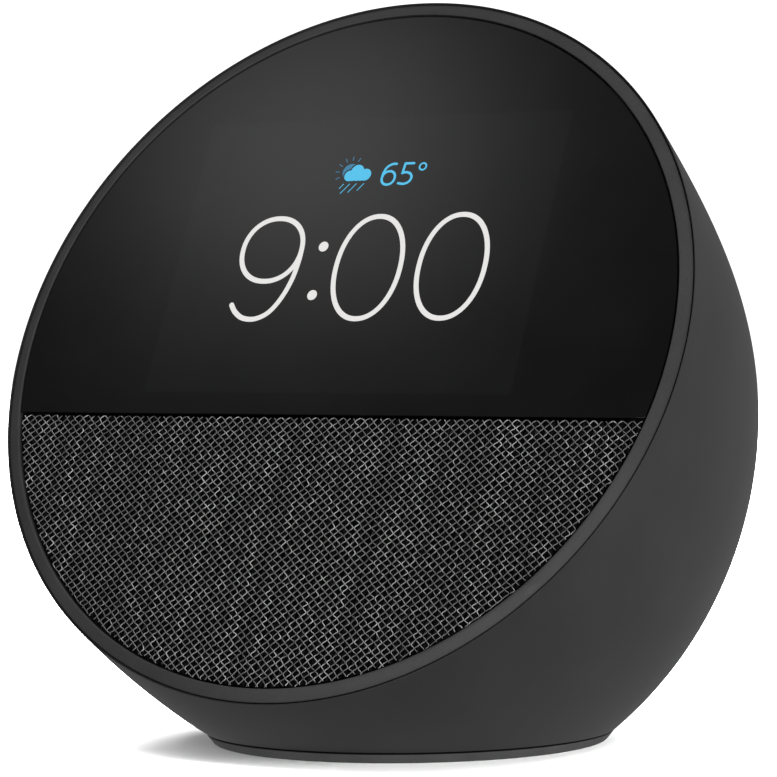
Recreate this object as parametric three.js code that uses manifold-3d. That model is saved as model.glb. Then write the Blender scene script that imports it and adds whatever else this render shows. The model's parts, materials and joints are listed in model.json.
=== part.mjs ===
// Round smart display: a leaned-back circular front (glass above, fabric grille below) on a
// rounded shell that stands on a small rubber foot. Millimetres, +Z up, front towards -Y,
// origin at the middle of the underside.
//
// Most pieces are laid out in the face frame: x to the right, y backwards along the face's
// axis, z up the face, with its origin at the middle of the front circle.

import * as THREE from "three";
import { mergeVertices } from "three/addons/utils/BufferGeometryUtils.js";
import Module from "manifold-3d";

const wasm = await Module();
wasm.setup();

// ---------------------------------------------------------------- driving dimensions

const GAP = 0.3; // clearance between neighbouring pieces
const FACE_RADIUS = 56.5; // front rim of the shell
const LEAN = THREE.MathUtils.degToRad(25.15); // how far the face leans back
const FACE_Y = -28.4; // middle of the front circle
const FACE_Z = 60.45;

const BODY_LENGTH = 80.9; // front circle to the back, along the face's axis
const LENGTH_POWER = 2.13; // roundness of the body's outline, 2 is an ellipse
const RADIUS_POWER = 2.25;
const DROP_SLOPE = 0.15; // how the sections' middles sink behind the face
const DROP_CURVE = 0.0021;
const STRETCH_LENGTH = 152; // sections grow taller than wide towards the back
const WALL = 2.2; // shell wall
const HIDDEN_FORM = { sections: 9, around: 36 }; // coarser copies of the body for hidden faces
const TRIM_FORM = { sections: 8, around: 28 };

const BEZEL_INNER = 54.2; // visible ring
const BEZEL_OUTER = 56.0; // of its flat front
const BEZEL_FRONT = -0.4;
const LEDGE_INNER = 50.5; // ledge that the glass and the grille rest on
const LEDGE_FRONT = 2.2;
const LEDGE_BACK = 4.0;
const RIM_RADIUS = 56.4; // rim bevel, which narrows by half its depth
const RIM_SLOPE = 0.5;
const RIM_DEPTH = 4.6;
const RING_CLEARANCE = 0.4; // between the rim's bevel and the ring
const RING_CHAMFER = 0.2;

const FRONT_FIT_RADIUS = BEZEL_INNER - GAP; // glass and grille inside the ring
const GLASS_FRONT = -0.3;
const GLASS_BACK = 0.8;
const CHORD_Z = -12.45; // straight border between glass and grille
const FABRIC_FRONT = -0.15;
const FABRIC_BACK = 0.45;

const GASKET_FRONT = 1.1; // foam behind the glass
const GASKET_BACK = 1.9;
const GASKET_OPENING = 50.7;
const GASKET_CHORD_WIDTH = 1.6;
const EDGE_CLEARANCE = 0.2; // of the gasket and the grille plate inside the ring
const GRILLE_PLATE_FRONT = 0.75;
const GRILLE_PITCH = 7.4; // hexagonal sound holes
const GRILLE_HOLE_RADIUS = 2.5;
const GRILLE_MARGIN = 5;
const GRILLE_ROWS = 7;
const GRILLE_COLUMNS = 8; // on each side of the middle

const LCD_WIDTH = 64;
const LCD_LOW_Z = -10.4;
const LCD_HIGH_Z = 38;
const LCD_FRONT = 1.1;
const LCD_BACK = 2.2;
const BACKLIGHT_BACK = 4.2;
const LIGHT_SENSOR = { width: 3.4, depth: 1, height: 2.2, z: 44.5 };
const FLEX = { width: 13, thick: 0.3, low: 6, high: 17 };

const CHASSIS_FRONT = 4.9;
const CHASSIS_BACK = 6.9;
const CHASSIS_RADIUS = 52.4;
const CHASSIS_WINDOW = { width: 48, height: 28, corner: 3, z: 17 }; // for the display's ribbon
const SPEAKER_OPENING = 19.4;
const STANDOFF_RADIUS = 2.6;
const SHELF_FRONT = -6.6; // shelf under the key board
const SHELF_THICK = 1.6;
const PILLAR_RADIUS = 3.4;
const PILLAR_BACK = 24;
const PILLAR_REACH = 50.3; // shell pillars that the chassis is screwed to
const PILLAR_ANGLES = [34, 146, 214, 326];

const SPEAKER_Z = -29; // middle of the 44 mm speaker, on the face
const SPEAKER_RADIUS = 22;
const SPEAKER_FRONT = 7.2;
const CONE_TRAVEL = 1;
const MOTOR_RADIUS = 13.8; // magnet and back of the yoke
const POLE_RADIUS = 4.7;
const COIL_INNER = 5.1;
const COIL_OUTER = 5.7;
const COIL_BACK = 21.4;
const TOP_PLATE = { front: 18.3, back: 19.7, hole: 6.3 };
const MAGNET = { front: 20.0, back: 24.7, hole: 7.0 };
const YOKE = { front: 17.6, step: 25.0, back: 26.8 };
const CONE_NECK = 14.4;
const CAP_RADIUS = 4.4;
const CHAMBER = { wall: 1.8, top: -4.5, back: 36, half: 28, floor: 7.2, clear: 0.8 };
const EAR_RADIUS = 3;
const EAR_THICK = 2.6;
const LEAD_HOLE = { radius: 1.6, x: 14, depth: 26 };

const BOARD_FRONT = 17.5;
const BOARD_BACK = 18.9;
const BOARD_LOW_Z = 1;
const BOARD_HIGH_Z = 37;
const BOARD_WIDTH = 70;
const BOARD_HOLE_X = 31;
const BOARD_HOLES_Z = [5, 33];
const SHIELD = { width: 24, depth: 2.2, height: 22, x: -12, z: 20 };
const SPREADER = { width: 36, depth: 1.5, height: 26, x: -10, z: 20 };
const WIFI = { width: 11, depth: 1.8, height: 13, x: 21, z: 24 };
const ANTENNA = { width: 0.5, depth: 18, height: 12, x: 41, y: 22, z: 2 };

const BUTTON_BACK = 14; // buttons' middle behind the front rim
const BUTTON_PITCH = 15;
const BUTTON_LONG = 10.5;
const BUTTON_SHORT = 6;
const BUTTON_PROUD = 0.5;
const BUTTON_SLOT = 0.35; // gap between a key and the shell
const BUTTON_DEPTH = 5.8; // underside of the keys below the skin above the middle key
const SWITCH_TOP = 6.5;
const SWITCH_BODY_TOP = 7;
const SWITCH_SIDE = 6;
const PLUNGER_RADIUS = 1.6;
const KEY_BOARD_TOP = 9.2;
const KEY_BOARD_THICK = 1.2;
const KEY_BOARD_LENGTH = 46;
const KEY_BOARD_WIDTH = 8.6;
const KEY_SCREW_X = 20.6;
const MIC_X = 7.5;
const MIC_HOLE = 0.6;
const MIC_SIZE = { width: 3.8, depth: 3, height: 1.1 };
const BOOT_RADIUS = 1.6;
const BOOT_TOP = 3.3;

const SHELL_FLOOR = 1.65; // shell's lower edge above the table
const FOOT_TOP_INSET = 0.25; // the foot starts almost flush and narrows to the table
const FOOT_BOTTOM_INSET = 1.35;
const FOOT_HEIGHT = 1.35;
const PLATE_TOP = 4.2;
const PLATE_BOTTOM = 1.95;
const SCREW_LEDGE = { low: 4.5, high: 6.7, outer: 1.0, inner: 9.0 }; // inside the shell
const BASE_SCREW_INSET = 5.8;
const BASE_SCREW_SEAT = 3.15;
const BASE_SCREW_POCKET = 2.7;

const JACK_Z = 19; // power socket
const JACK_RADIUS = 5.6;
const JACK_BORE = 3.3;
const JACK_PIN = 0.85;
const JACK_LENGTH = 11;
const JACK_RECESS = 5.2; // socket face inside the shell's port
const PORT_RADIUS = 5.0;
const BOSS_WALL = 2.2;
const BOSS_LENGTH = 5; // of the boss beside the socket
const JACK_BORE_END = 2;
const JACK_PIN_RECESS = 1.5;
const JACK_BOARD = { width: 15, depth: 1.4, height: 13 };

const CASE_SCREW = { headRadius: 1.9, headHeight: 1.2, shankRadius: 0.95 };
const KEY_SCREW = { headRadius: 1.7, headHeight: 1.0, shankRadius: 0.95 };
const BASE_SCREW = { headRadius: 2.3, headHeight: 1.1, shankRadius: 1.05 };
const HEAD_OVERLAP = 0.2; // of a screw's head and its shank
const PILOT = 1.25; // hole that a screw's thread fits
const SCREW_PASSAGE = 1.4; // hole that a base screw passes through
const FAR = 90; // beyond the body on every side

const ROUND = 72; // facets on the large circles
const HALF_ROUND = 32;
const PORT_ROUND = 24;
const SMALL_ROUND = 16;
const SCREW_ROUND = 12;
const HOLE_ROUND = 10;

// ---------------------------------------------------------------- materials

function finish(color, roughness, metalness = 0) {
  return new THREE.MeshStandardMaterial({ color, roughness, metalness });
}

const charcoalPlastic = finish(0x37383a, 0.55);
const ringPlastic = finish(0x3d3e40, 0.5);
const blackGlass = finish(0x0b0b0c, 0.08);
const meshFabric = finish(0x2c2d2e, 0.95);
const blackPlastic = finish(0x1c1c1d, 0.6);
const rubber = finish(0x222223, 0.9);
const circuitGreen = finish(0x174a2c, 0.5);
const steel = finish(0x9a9c9f, 0.35, 1);
const aluminium = finish(0xb9bcc0, 0.4, 1);
const copperFoil = finish(0x9a5b32, 0.4, 1);
const paperCone = finish(0x26262a, 0.9);
const ferrite = finish(0x3a3b3d, 0.6, 0.4);
const panelGrey = finish(0x59606a, 0.3);

// ---------------------------------------------------------------- solids and booleans

function indexedPositions(geometry) {
  const bare = geometry.clone();
  bare.deleteAttribute("normal");
  bare.deleteAttribute("uv");
  const merged = mergeVertices(bare, 1e-4);
  const index = [];
  for (let i = 0; i < merged.index.count; i += 3) {
    const a = merged.index.getX(i);
    const b = merged.index.getX(i + 1);
    const c = merged.index.getX(i + 2);
    if (a !== b && b !== c && c !== a) index.push(a, b, c);
  }
  return { positions: merged.getAttribute("position").array, index };
}

function signedVolume(positions, index) {
  const a = new THREE.Vector3();
  const b = new THREE.Vector3();
  const c = new THREE.Vector3();
  let sum = 0;
  for (let i = 0; i < index.length; i += 3) {
    a.fromArray(positions, 3 * index[i]);
    b.fromArray(positions, 3 * index[i + 1]);
    c.fromArray(positions, 3 * index[i + 2]);
    sum += a.dot(b.cross(c));
  }
  return sum;
}

function solid(geometry) {
  const { positions, index } = indexedPositions(geometry);
  if (signedVolume(positions, index) < 0) index.reverse();
  return new wasm.Manifold(
    new wasm.Mesh({
      numProp: 3,
      vertProperties: Float32Array.from(positions),
      triVerts: Uint32Array.from(index),
    }),
  );
}

function geometryOf(manifold) {
  const mesh = manifold.getMesh();
  const geometry = new THREE.BufferGeometry();
  geometry.setAttribute("position", new THREE.BufferAttribute(Float32Array.from(mesh.vertProperties), 3));
  geometry.setIndex(new THREE.BufferAttribute(Uint32Array.from(mesh.triVerts), 1));
  return geometry;
}

function named(name, shape, material) {
  const manifold = shape.isBufferGeometry ? solid(shape) : shape;
  const mesh = new THREE.Mesh(geometryOf(manifold), material);
  mesh.name = name;
  return mesh;
}

// ---------------------------------------------------------------- basic shapes

function box(width, depth, height, x = 0, y = 0, z = 0) {
  return new THREE.BoxGeometry(width, depth, height).translate(x, y, z);
}

// A box given by its lowest and highest corners.
function boxBetween(low, high) {
  const size = high.map((value, i) => value - low[i]);
  const middle = high.map((value, i) => (value + low[i]) / 2);
  return box(...size, ...middle);
}

// A cylinder along y between two depths.
function rod(radius, y0, y1, x = 0, z = 0, facets = SMALL_ROUND) {
  return new THREE.CylinderGeometry(radius, radius, y1 - y0, facets).translate(x, (y0 + y1) / 2, z);
}

// A cylinder along z between two heights.
function post(radius, z0, z1, x = 0, y = 0, facets = SMALL_ROUND) {
  return new THREE.CylinderGeometry(radius, radius, z1 - z0, facets)
    .rotateX(Math.PI / 2)
    .translate(x, y, (z0 + z1) / 2);
}

// A ring or disc turned about y from [radius, y] points, closed on itself or on the axis.
function turned(points, x = 0, z = 0, facets = ROUND) {
  const profile = points.map(([radius, y]) => new THREE.Vector2(radius, y));
  if (points[0][0] > 0) profile.push(profile[0].clone());
  return new THREE.LatheGeometry(profile, facets).translate(x, 0, z);
}

// An outline in x and z, made into a plate between two depths.
function plate(shape, y0, y1, curveSegments = 8) {
  return new THREE.ExtrudeGeometry(shape, { depth: y1 - y0, bevelEnabled: false, curveSegments })
    .rotateX(Math.PI / 2)
    .translate(0, y1, 0);
}

function roundedRectangle(width, height, corner, x = 0, y = 0) {
  const w = width / 2;
  const h = height / 2;
  const path = new THREE.Shape();
  path.absarc(x + w - corner, y + h - corner, corner, 0, Math.PI / 2);
  path.absarc(x - w + corner, y + h - corner, corner, Math.PI / 2, Math.PI);
  path.absarc(x - w + corner, y - h + corner, corner, Math.PI, 1.5 * Math.PI);
  path.absarc(x + w - corner, y - h + corner, corner, 1.5 * Math.PI, 2 * Math.PI);
  path.closePath();
  return path;
}

// Part of a disc above or below a level chord.
function discSegment(radius, chord, above) {
  const angle = Math.asin(chord / radius);
  const shape = new THREE.Shape();
  if (above) shape.absarc(0, 0, radius, angle, Math.PI - angle, false);
  else shape.absarc(0, 0, radius, Math.PI - angle, 2 * Math.PI + angle, false);
  shape.closePath();
  return shape;
}

// ---------------------------------------------------------------- the body's form

// Section radius and stretch at a depth behind the face. Insets make the smaller bodies
// that walls and inner pieces follow.
function sectionWidth(depth, inset) {
  const share = Math.min(1, Math.max(0, depth / (BODY_LENGTH - inset)));
  return (FACE_RADIUS - inset) * Math.pow(1 - Math.pow(share, LENGTH_POWER), 1 / RADIUS_POWER);
}

function sectionDrop(depth) {
  const behind = Math.max(depth, 0);
  return DROP_SLOPE * behind - DROP_CURVE * behind * behind;
}

function sectionStretch(depth) {
  return 1 + Math.pow(Math.max(depth, 0) / STRETCH_LENGTH, 2);
}

// The body's outer form, shrunk by an inset, from a front depth to the back, in the face frame.
function bodyForm(inset, { front = 0, sections = 15, around = 56 } = {}) {
  const length = BODY_LENGTH - inset;
  const depths = front < 0 ? [front] : [];
  for (let i = 0; i < sections; i += 1) {
    const depth = length * Math.pow(Math.sin((0.5 * Math.PI * i) / sections), 2 / LENGTH_POWER);
    if (depth >= front) depths.push(depth);
  }
  const positions = [];
  for (const depth of depths) {
    const width = sectionWidth(depth, inset);
    const height = width * sectionStretch(depth);
    for (let j = 0; j < around; j += 1) {
      const angle = (2 * Math.PI * j) / around;
      positions.push(width * Math.cos(angle), depth, height * Math.sin(angle) - sectionDrop(depth));
    }
  }
  const frontPole = positions.length / 3;
  positions.push(0, depths[0], -sectionDrop(depths[0]), 0, length, -sectionDrop(length));
  const index = [];
  const last = (depths.length - 1) * around;
  for (let j = 0; j < around; j += 1) {
    const next = (j + 1) % around;
    index.push(frontPole, j, next, frontPole + 1, last + next, last + j);
    for (let ring = 0; ring < last; ring += around) {
      index.push(ring + j, ring + around + j, ring + next);
      index.push(ring + next, ring + around + j, ring + around + next);
    }
  }
  const geometry = new THREE.BufferGeometry();
  geometry.setAttribute("position", new THREE.Float32BufferAttribute(positions, 3));
  geometry.setIndex(index);
  return geometry;
}

function insideBody(point, inset) {
  if (point.y < 0 || point.y > BODY_LENGTH - inset) return false;
  const width = sectionWidth(point.y, inset);
  const height = width * sectionStretch(point.y);
  return Math.hypot(point.x / width, (point.z + sectionDrop(point.y)) / height) < 1;
}

// How far a ray from inside the body travels to its skin.
function reach(origin, direction, inset = 0) {
  let near = 0;
  let far = 2 * BODY_LENGTH;
  for (let i = 0; i < 40; i += 1) {
    const middle = (near + far) / 2;
    if (insideBody(origin.clone().addScaledVector(direction, middle), inset)) near = middle;
    else far = middle;
  }
  return near;
}

// ---------------------------------------------------------------- frames of reference

const faceFrame = new THREE.Matrix4()
  .makeRotationX(-LEAN)
  .setPosition(0, FACE_Y, FACE_Z);
const worldToFace = faceFrame.clone().invert();

function toFace(point) {
  return point.clone().applyMatrix4(worldToFace);
}

function directionToFace(direction) {
  return direction.clone().transformDirection(worldToFace);
}

// Geometry laid out in the standing frame, moved into the face frame.
function standing(geometry) {
  return geometry.clone().applyMatrix4(worldToFace);
}

// A point in plan where the body, shrunk by an inset, ends at a height and a bearing.
const BASE_MIDDLE_Y = -6.5;
function levelPoint(height, inset, bearing, shrink = 0) {
  const start = toFace(new THREE.Vector3(0, BASE_MIDDLE_Y, height));
  const direction = new THREE.Vector3(Math.cos(bearing), Math.sin(bearing), 0);
  const distance = reach(start, directionToFace(direction), inset) - shrink;
  return new THREE.Vector2(distance * direction.x, BASE_MIDDLE_Y + distance * direction.y);
}

function levelPoints(height, inset, shrink = 0, steps = 40) {
  const points = [];
  for (let i = 0; i < steps; i += 1) {
    points.push(levelPoint(height, inset, (2 * Math.PI * i) / steps, shrink));
  }
  return points;
}

function levelOutline(height, inset) {
  return new THREE.Shape(levelPoints(height, inset));
}

function standingPlate(shape, z0, z1) {
  return new THREE.ExtrudeGeometry(shape, { depth: z1 - z0, bevelEnabled: false }).translate(0, 0, z0);
}

// The keys' frame: its z is the skin's outward normal above the middle key, x stays level.
const keyRay = new THREE.Vector3(0, 0, 1);
function skinTop(depth) {
  return reach(new THREE.Vector3(0, depth, 0), keyRay);
}
const keySlope = Math.atan((skinTop(BUTTON_BACK + 2) - skinTop(BUTTON_BACK - 2)) / 4);
const keyFrame = new THREE.Matrix4()
  .makeRotationX(keySlope)
  .setPosition(0, BUTTON_BACK, skinTop(BUTTON_BACK));

function keyed(geometry) {
  return geometry.clone().applyMatrix4(keyFrame);
}

function keyPrism(grow, low, high, x) {
  const corner = BUTTON_SHORT / 2 + grow - 0.01;
  const shape = roundedRectangle(BUTTON_LONG + 2 * grow, BUTTON_SHORT + 2 * grow, corner);
  return keyed(
    new THREE.ExtrudeGeometry(shape, { depth: high - low, bevelEnabled: false, curveSegments: 6 })
      .translate(x, 0, low),
  );
}

const KEYS = [
  { name: "volume_down", x: -BUTTON_PITCH },
  { name: "action", x: 0 },
  { name: "volume_up", x: BUTTON_PITCH },
];

// The power socket's axis is level and points out of the back.
const backwards = directionToFace(new THREE.Vector3(0, 1, 0));
const jackStart = toFace(new THREE.Vector3(0, BASE_MIDDLE_Y, JACK_Z));
const JACK_SKIN_Y = BASE_MIDDLE_Y + reach(jackStart, backwards);
const JACK_FACE_Y = JACK_SKIN_Y - JACK_RECESS;

// ---------------------------------------------------------------- screws

// A pan-head screw along a rod's or a post's axis, from its seat along a signed length.
function panScrew(cylinder, a, b, seat, length, { headRadius, headHeight, shankRadius }) {
  const way = Math.sign(length);
  const part = (radius, from, to) =>
    solid(cylinder(radius, Math.min(from, to), Math.max(from, to), a, b, SCREW_ROUND));
  const head = part(headRadius, seat, seat - way * headHeight);
  return head.add(part(shankRadius, seat - way * HEAD_OVERLAP, seat + length));
}

const PILLARS = PILLAR_ANGLES.map((degrees) => {
  const angle = THREE.MathUtils.degToRad(degrees);
  const drop = sectionDrop(CHASSIS_BACK);
  return { x: PILLAR_REACH * Math.cos(angle), z: PILLAR_REACH * Math.sin(angle) - drop };
});
const BOARD_HOLES = [-1, 1].flatMap((side) => BOARD_HOLES_Z.map((z) => ({ x: side * BOARD_HOLE_X, z })));
const CHAMBER_EARS = [-1, 1].map((side) => ({ x: side * 30.5, z: -10 }));
const BASE_SCREWS = [90, 210, 330].map((degrees) =>
  levelPoint(SCREW_LEDGE.low, BASE_SCREW_INSET, THREE.MathUtils.degToRad(degrees)),
);

// ---------------------------------------------------------------- casing

function aboveFloor(height) {
  return solid(standing(boxBetween([-FAR, -FAR, height], [FAR, FAR, 2 * FAR])));
}

// Ledge inside the shell that the base plate is screwed to.
function screwLedge() {
  const { low, high, outer, inner } = SCREW_LEDGE;
  return solid(standingPlate(levelOutline(low, outer), low, high))
    .subtract(solid(standingPlate(levelOutline(low, inner), low - 0.5, high + 0.3)))
    .transform(worldToFace.elements);
}

// Pillar behind the chassis, grown out of the shell's wall.
function withPillar(shell, { x, z }) {
  const trim = solid(bodyForm(WALL / 2, TRIM_FORM));
  const column = solid(rod(PILLAR_RADIUS, CHASSIS_BACK + GAP, PILLAR_BACK, x, z, SCREW_ROUND));
  return shell
    .add(column.intersect(trim))
    .subtract(solid(rod(PILOT, CHASSIS_BACK, PILLAR_BACK - 6, x, z, HOLE_ROUND)));
}

// Boss round the power socket, its seat and the port that a plug passes through.
function withPowerPort(shell) {
  const alongJack = (radius, y0, y1) => solid(standing(rod(radius, y0, y1, 0, JACK_Z, PORT_ROUND)));
  const boss = alongJack(JACK_RADIUS + BOSS_WALL, JACK_FACE_Y - BOSS_LENGTH, JACK_SKIN_Y + 8);
  return shell
    .add(boss.intersect(solid(bodyForm(0))))
    .subtract(alongJack(JACK_RADIUS + GAP, JACK_FACE_Y - 30, JACK_FACE_Y + GAP))
    .subtract(alongJack(PORT_RADIUS, JACK_FACE_Y, JACK_SKIN_Y + 20));
}

// Bevelled rim that the bezel ring drops into.
function rimBevel() {
  const ahead = 6;
  return solid(
    turned([
      [0, -ahead],
      [RIM_RADIUS + ahead * RIM_SLOPE, -ahead],
      [RIM_RADIUS - RIM_DEPTH * RIM_SLOPE, RIM_DEPTH],
      [0, RIM_DEPTH],
    ]),
  );
}

function rearShell() {
  const hollow = solid(bodyForm(WALL, { front: -5, ...HIDDEN_FORM }));
  let shell = solid(bodyForm(0)).subtract(hollow).intersect(aboveFloor(SHELL_FLOOR));
  shell = shell.add(screwLedge());
  for (const pillar of PILLARS) shell = withPillar(shell, pillar);
  shell = withPowerPort(shell).subtract(rimBevel());
  for (const key of KEYS) shell = shell.subtract(solid(keyPrism(BUTTON_SLOT, -12, 6, key.x)));
  for (const side of [-1, 1]) {
    shell = shell.subtract(solid(keyed(post(MIC_HOLE, -8, 4, side * MIC_X, 0, HOLE_ROUND))));
  }
  for (const screw of BASE_SCREWS) {
    const { low, high } = SCREW_LEDGE;
    const hole = post(SCREW_PASSAGE, low - 0.5, high + 0.5, screw.x, screw.y, SCREW_ROUND);
    shell = shell.subtract(solid(standing(hole)));
  }
  return named("rear_shell", shell, charcoalPlastic);
}

function bezelRing() {
  const bevelAt = (depth) => RIM_RADIUS - RING_CLEARANCE - depth * RIM_SLOPE;
  const profile = [
    [BEZEL_INNER, BEZEL_FRONT],
    [BEZEL_OUTER, BEZEL_FRONT],
    [bevelAt(BEZEL_FRONT + RING_CHAMFER), BEZEL_FRONT + RING_CHAMFER],
    [bevelAt(LEDGE_BACK), LEDGE_BACK],
    [LEDGE_INNER, LEDGE_BACK],
    [LEDGE_INNER, LEDGE_FRONT],
    [BEZEL_INNER, LEDGE_FRONT],
  ];
  return named("bezel_ring", turned(profile), ringPlastic);
}

function basePlate() {
  const outline = levelOutline(SHELL_FLOOR, WALL + 1.6 * GAP);
  let body = solid(standingPlate(outline, PLATE_BOTTOM, PLATE_TOP));
  for (const { x, y } of BASE_SCREWS) {
    const pocketTop = BASE_SCREW_SEAT + GAP;
    body = body.subtract(solid(post(BASE_SCREW_POCKET, 1, pocketTop, x, y, SCREW_ROUND)));
    body = body.subtract(solid(post(SCREW_PASSAGE, 1, PLATE_TOP + 1, x, y, SCREW_ROUND)));
  }
  return named("base_plate", body, blackPlastic);
}

// A form between a lower and an upper outline with the same number of points.
function tapered(lower, upper, z0, z1) {
  const count = lower.length;
  const positions = [];
  lower.forEach(({ x, y }) => positions.push(x, y, z0));
  upper.forEach(({ x, y }) => positions.push(x, y, z1));
  const index = [];
  for (let i = 0; i < count; i += 1) {
    const next = (i + 1) % count;
    index.push(i, next, count + next, i, count + next, count + i);
  }
  THREE.ShapeUtils.triangulateShape(lower, []).forEach(([a, b, c]) => index.push(a, c, b));
  THREE.ShapeUtils.triangulateShape(upper, []).forEach(([a, b, c]) => {
    index.push(count + a, count + b, count + c);
  });
  const geometry = new THREE.BufferGeometry();
  geometry.setAttribute("position", new THREE.Float32BufferAttribute(positions, 3));
  geometry.setIndex(index);
  return geometry;
}

function rubberFoot() {
  const lower = levelPoints(SHELL_FLOOR, 0, FOOT_BOTTOM_INSET);
  const upper = levelPoints(SHELL_FLOOR, 0, FOOT_TOP_INSET);
  return named("rubber_foot", tapered(lower, upper, 0, FOOT_HEIGHT), rubber);
}

// ---------------------------------------------------------------- front

function displayGlass() {
  const outline = discSegment(FRONT_FIT_RADIUS, CHORD_Z + GAP / 2, true);
  return named("display_glass", plate(outline, GLASS_FRONT, GLASS_BACK, 48), blackGlass);
}

function glassGasket() {
  const outline = discSegment(FRONT_FIT_RADIUS - EDGE_CLEARANCE, CHORD_Z + GAP, true);
  const opening = discSegment(GASKET_OPENING, CHORD_Z + GASKET_CHORD_WIDTH, true);
  outline.holes.push(new THREE.Path(opening.getPoints(32)));
  return named("glass_gasket", plate(outline, GASKET_FRONT, GASKET_BACK, 32), rubber);
}

function grilleFabric() {
  const outline = discSegment(FRONT_FIT_RADIUS, CHORD_Z - GAP / 2, false);
  return named("grille_fabric", plate(outline, FABRIC_FRONT, FABRIC_BACK, 40), meshFabric);
}

function hexagon(x, z, radius) {
  const corners = [];
  for (let k = 0; k < 6; k += 1) {
    const angle = (Math.PI * k) / 3;
    corners.push(new THREE.Vector2(x + radius * Math.cos(angle), z + radius * Math.sin(angle)));
  }
  return new THREE.Path(corners);
}

function grillePlate() {
  const radius = FRONT_FIT_RADIUS - EDGE_CLEARANCE;
  const outline = discSegment(radius, CHORD_Z - GAP, false);
  for (let row = 0; row < GRILLE_ROWS; row += 1) {
    const z = CHORD_Z - GRILLE_MARGIN - row * GRILLE_PITCH * Math.sin(Math.PI / 3);
    for (let column = -GRILLE_COLUMNS; column <= GRILLE_COLUMNS; column += 1) {
      const x = (column + (row % 2) / 2) * GRILLE_PITCH;
      if (Math.hypot(x, z) > radius - GRILLE_MARGIN) continue;
      outline.holes.push(hexagon(x, z, GRILLE_HOLE_RADIUS));
    }
  }
  return named("grille_plate", plate(outline, GRILLE_PLATE_FRONT, GASKET_BACK, 32), blackPlastic);
}

function displayStack() {
  const middleZ = (LCD_LOW_Z + LCD_HIGH_Z) / 2;
  const height = LCD_HIGH_Z - LCD_LOW_Z;
  const panel = roundedRectangle(LCD_WIDTH, height, 1, 0, middleZ);
  const tray = roundedRectangle(LCD_WIDTH - 1, height - 1, 1.5, 0, middleZ);
  const { width, depth, height: tall, z } = LIGHT_SENSOR;
  return [
    named("display_panel", plate(panel, LCD_FRONT, LCD_BACK, 3), panelGrey),
    named("backlight_unit", plate(tray, LCD_BACK + GAP, BACKLIGHT_BACK, 3), steel),
    named("light_sensor", box(width, depth, tall, 0, LCD_FRONT + depth / 2, z), blackPlastic),
  ];
}

// Ribbon from behind the display, through the chassis window, back to the main board.
function displayFlex() {
  const { width, thick, low, high } = FLEX;
  const front = BACKLIGHT_BACK + GAP;
  const back = BOARD_FRONT - GAP;
  const profile = new THREE.Shape([
    new THREE.Vector2(front, low),
    new THREE.Vector2(back, low),
    new THREE.Vector2(back, low + thick),
    new THREE.Vector2(front + thick, low + thick),
    new THREE.Vector2(front + thick, high),
    new THREE.Vector2(front, high),
  ]);
  // The outline's own axes are y and z; its depth is x.
  const strip = new THREE.ExtrudeGeometry(profile, { depth: width, bevelEnabled: false });
  const basis = new THREE.Matrix4().makeBasis(
    new THREE.Vector3(0, 1, 0),
    new THREE.Vector3(0, 0, 1),
    new THREE.Vector3(1, 0, 0),
  );
  return named("display_flex", strip.applyMatrix4(basis).translate(-width / 2, 0, 0), copperFoil);
}

function chassisDisc() {
  const { width, height, corner, z } = CHASSIS_WINDOW;
  const front = CHASSIS_FRONT - 1;
  const back = CHASSIS_BACK + 1;
  return solid(rod(CHASSIS_RADIUS, CHASSIS_FRONT, CHASSIS_BACK, 0, 0, 48))
    .subtract(solid(rod(SPEAKER_OPENING, front, back, 0, SPEAKER_Z, HALF_ROUND)))
    .subtract(solid(plate(roundedRectangle(width, height, corner, 0, z), front, back, 3)));
}

function keyShelf() {
  const top = -(KEY_BOARD_TOP + KEY_BOARD_THICK + GAP);
  const shelf = boxBetween(
    [-KEY_BOARD_LENGTH / 2, SHELF_FRONT, top - SHELF_THICK],
    [KEY_BOARD_LENGTH / 2, KEY_BOARD_WIDTH / 2, top],
  );
  return { shelf: solid(keyed(shelf)), top };
}

function frontChassis() {
  let body = chassisDisc();
  // Standoffs for the main board.
  for (const { x, z } of BOARD_HOLES) {
    const standoff = rod(STANDOFF_RADIUS, CHASSIS_BACK - 0.5, BOARD_FRONT - GAP, x, z, SCREW_ROUND);
    body = body.add(solid(standoff)).subtract(solid(rod(PILOT, 10, BOARD_FRONT, x, z, HOLE_ROUND)));
  }
  const { shelf, top } = keyShelf();
  body = body.add(shelf);
  for (const side of [-1, 1]) {
    const pilot = post(PILOT, top - 3, top + 1, side * KEY_SCREW_X, 0, HOLE_ROUND);
    body = body.subtract(solid(keyed(pilot)));
  }
  // Countersunk holes over the shell's pillars.
  for (const { x, z } of PILLARS) {
    body = body.subtract(solid(rod(1.3, 0, CHASSIS_BACK + 1, x, z, SCREW_ROUND)));
    body = body.subtract(solid(rod(2.3, 0, CHASSIS_FRONT + 1.1, x, z, SCREW_ROUND)));
  }
  for (const { x, z } of CHAMBER_EARS) {
    body = body.subtract(solid(rod(PILOT, 0, CHASSIS_BACK + 1, x, z, HOLE_ROUND)));
  }
  return named("front_chassis", body, blackPlastic);
}

// ---------------------------------------------------------------- speaker

function speakerRing(name, points, material, facets = HALF_ROUND) {
  return named(name, turned(points, 0, SPEAKER_Z, facets), material);
}

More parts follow.
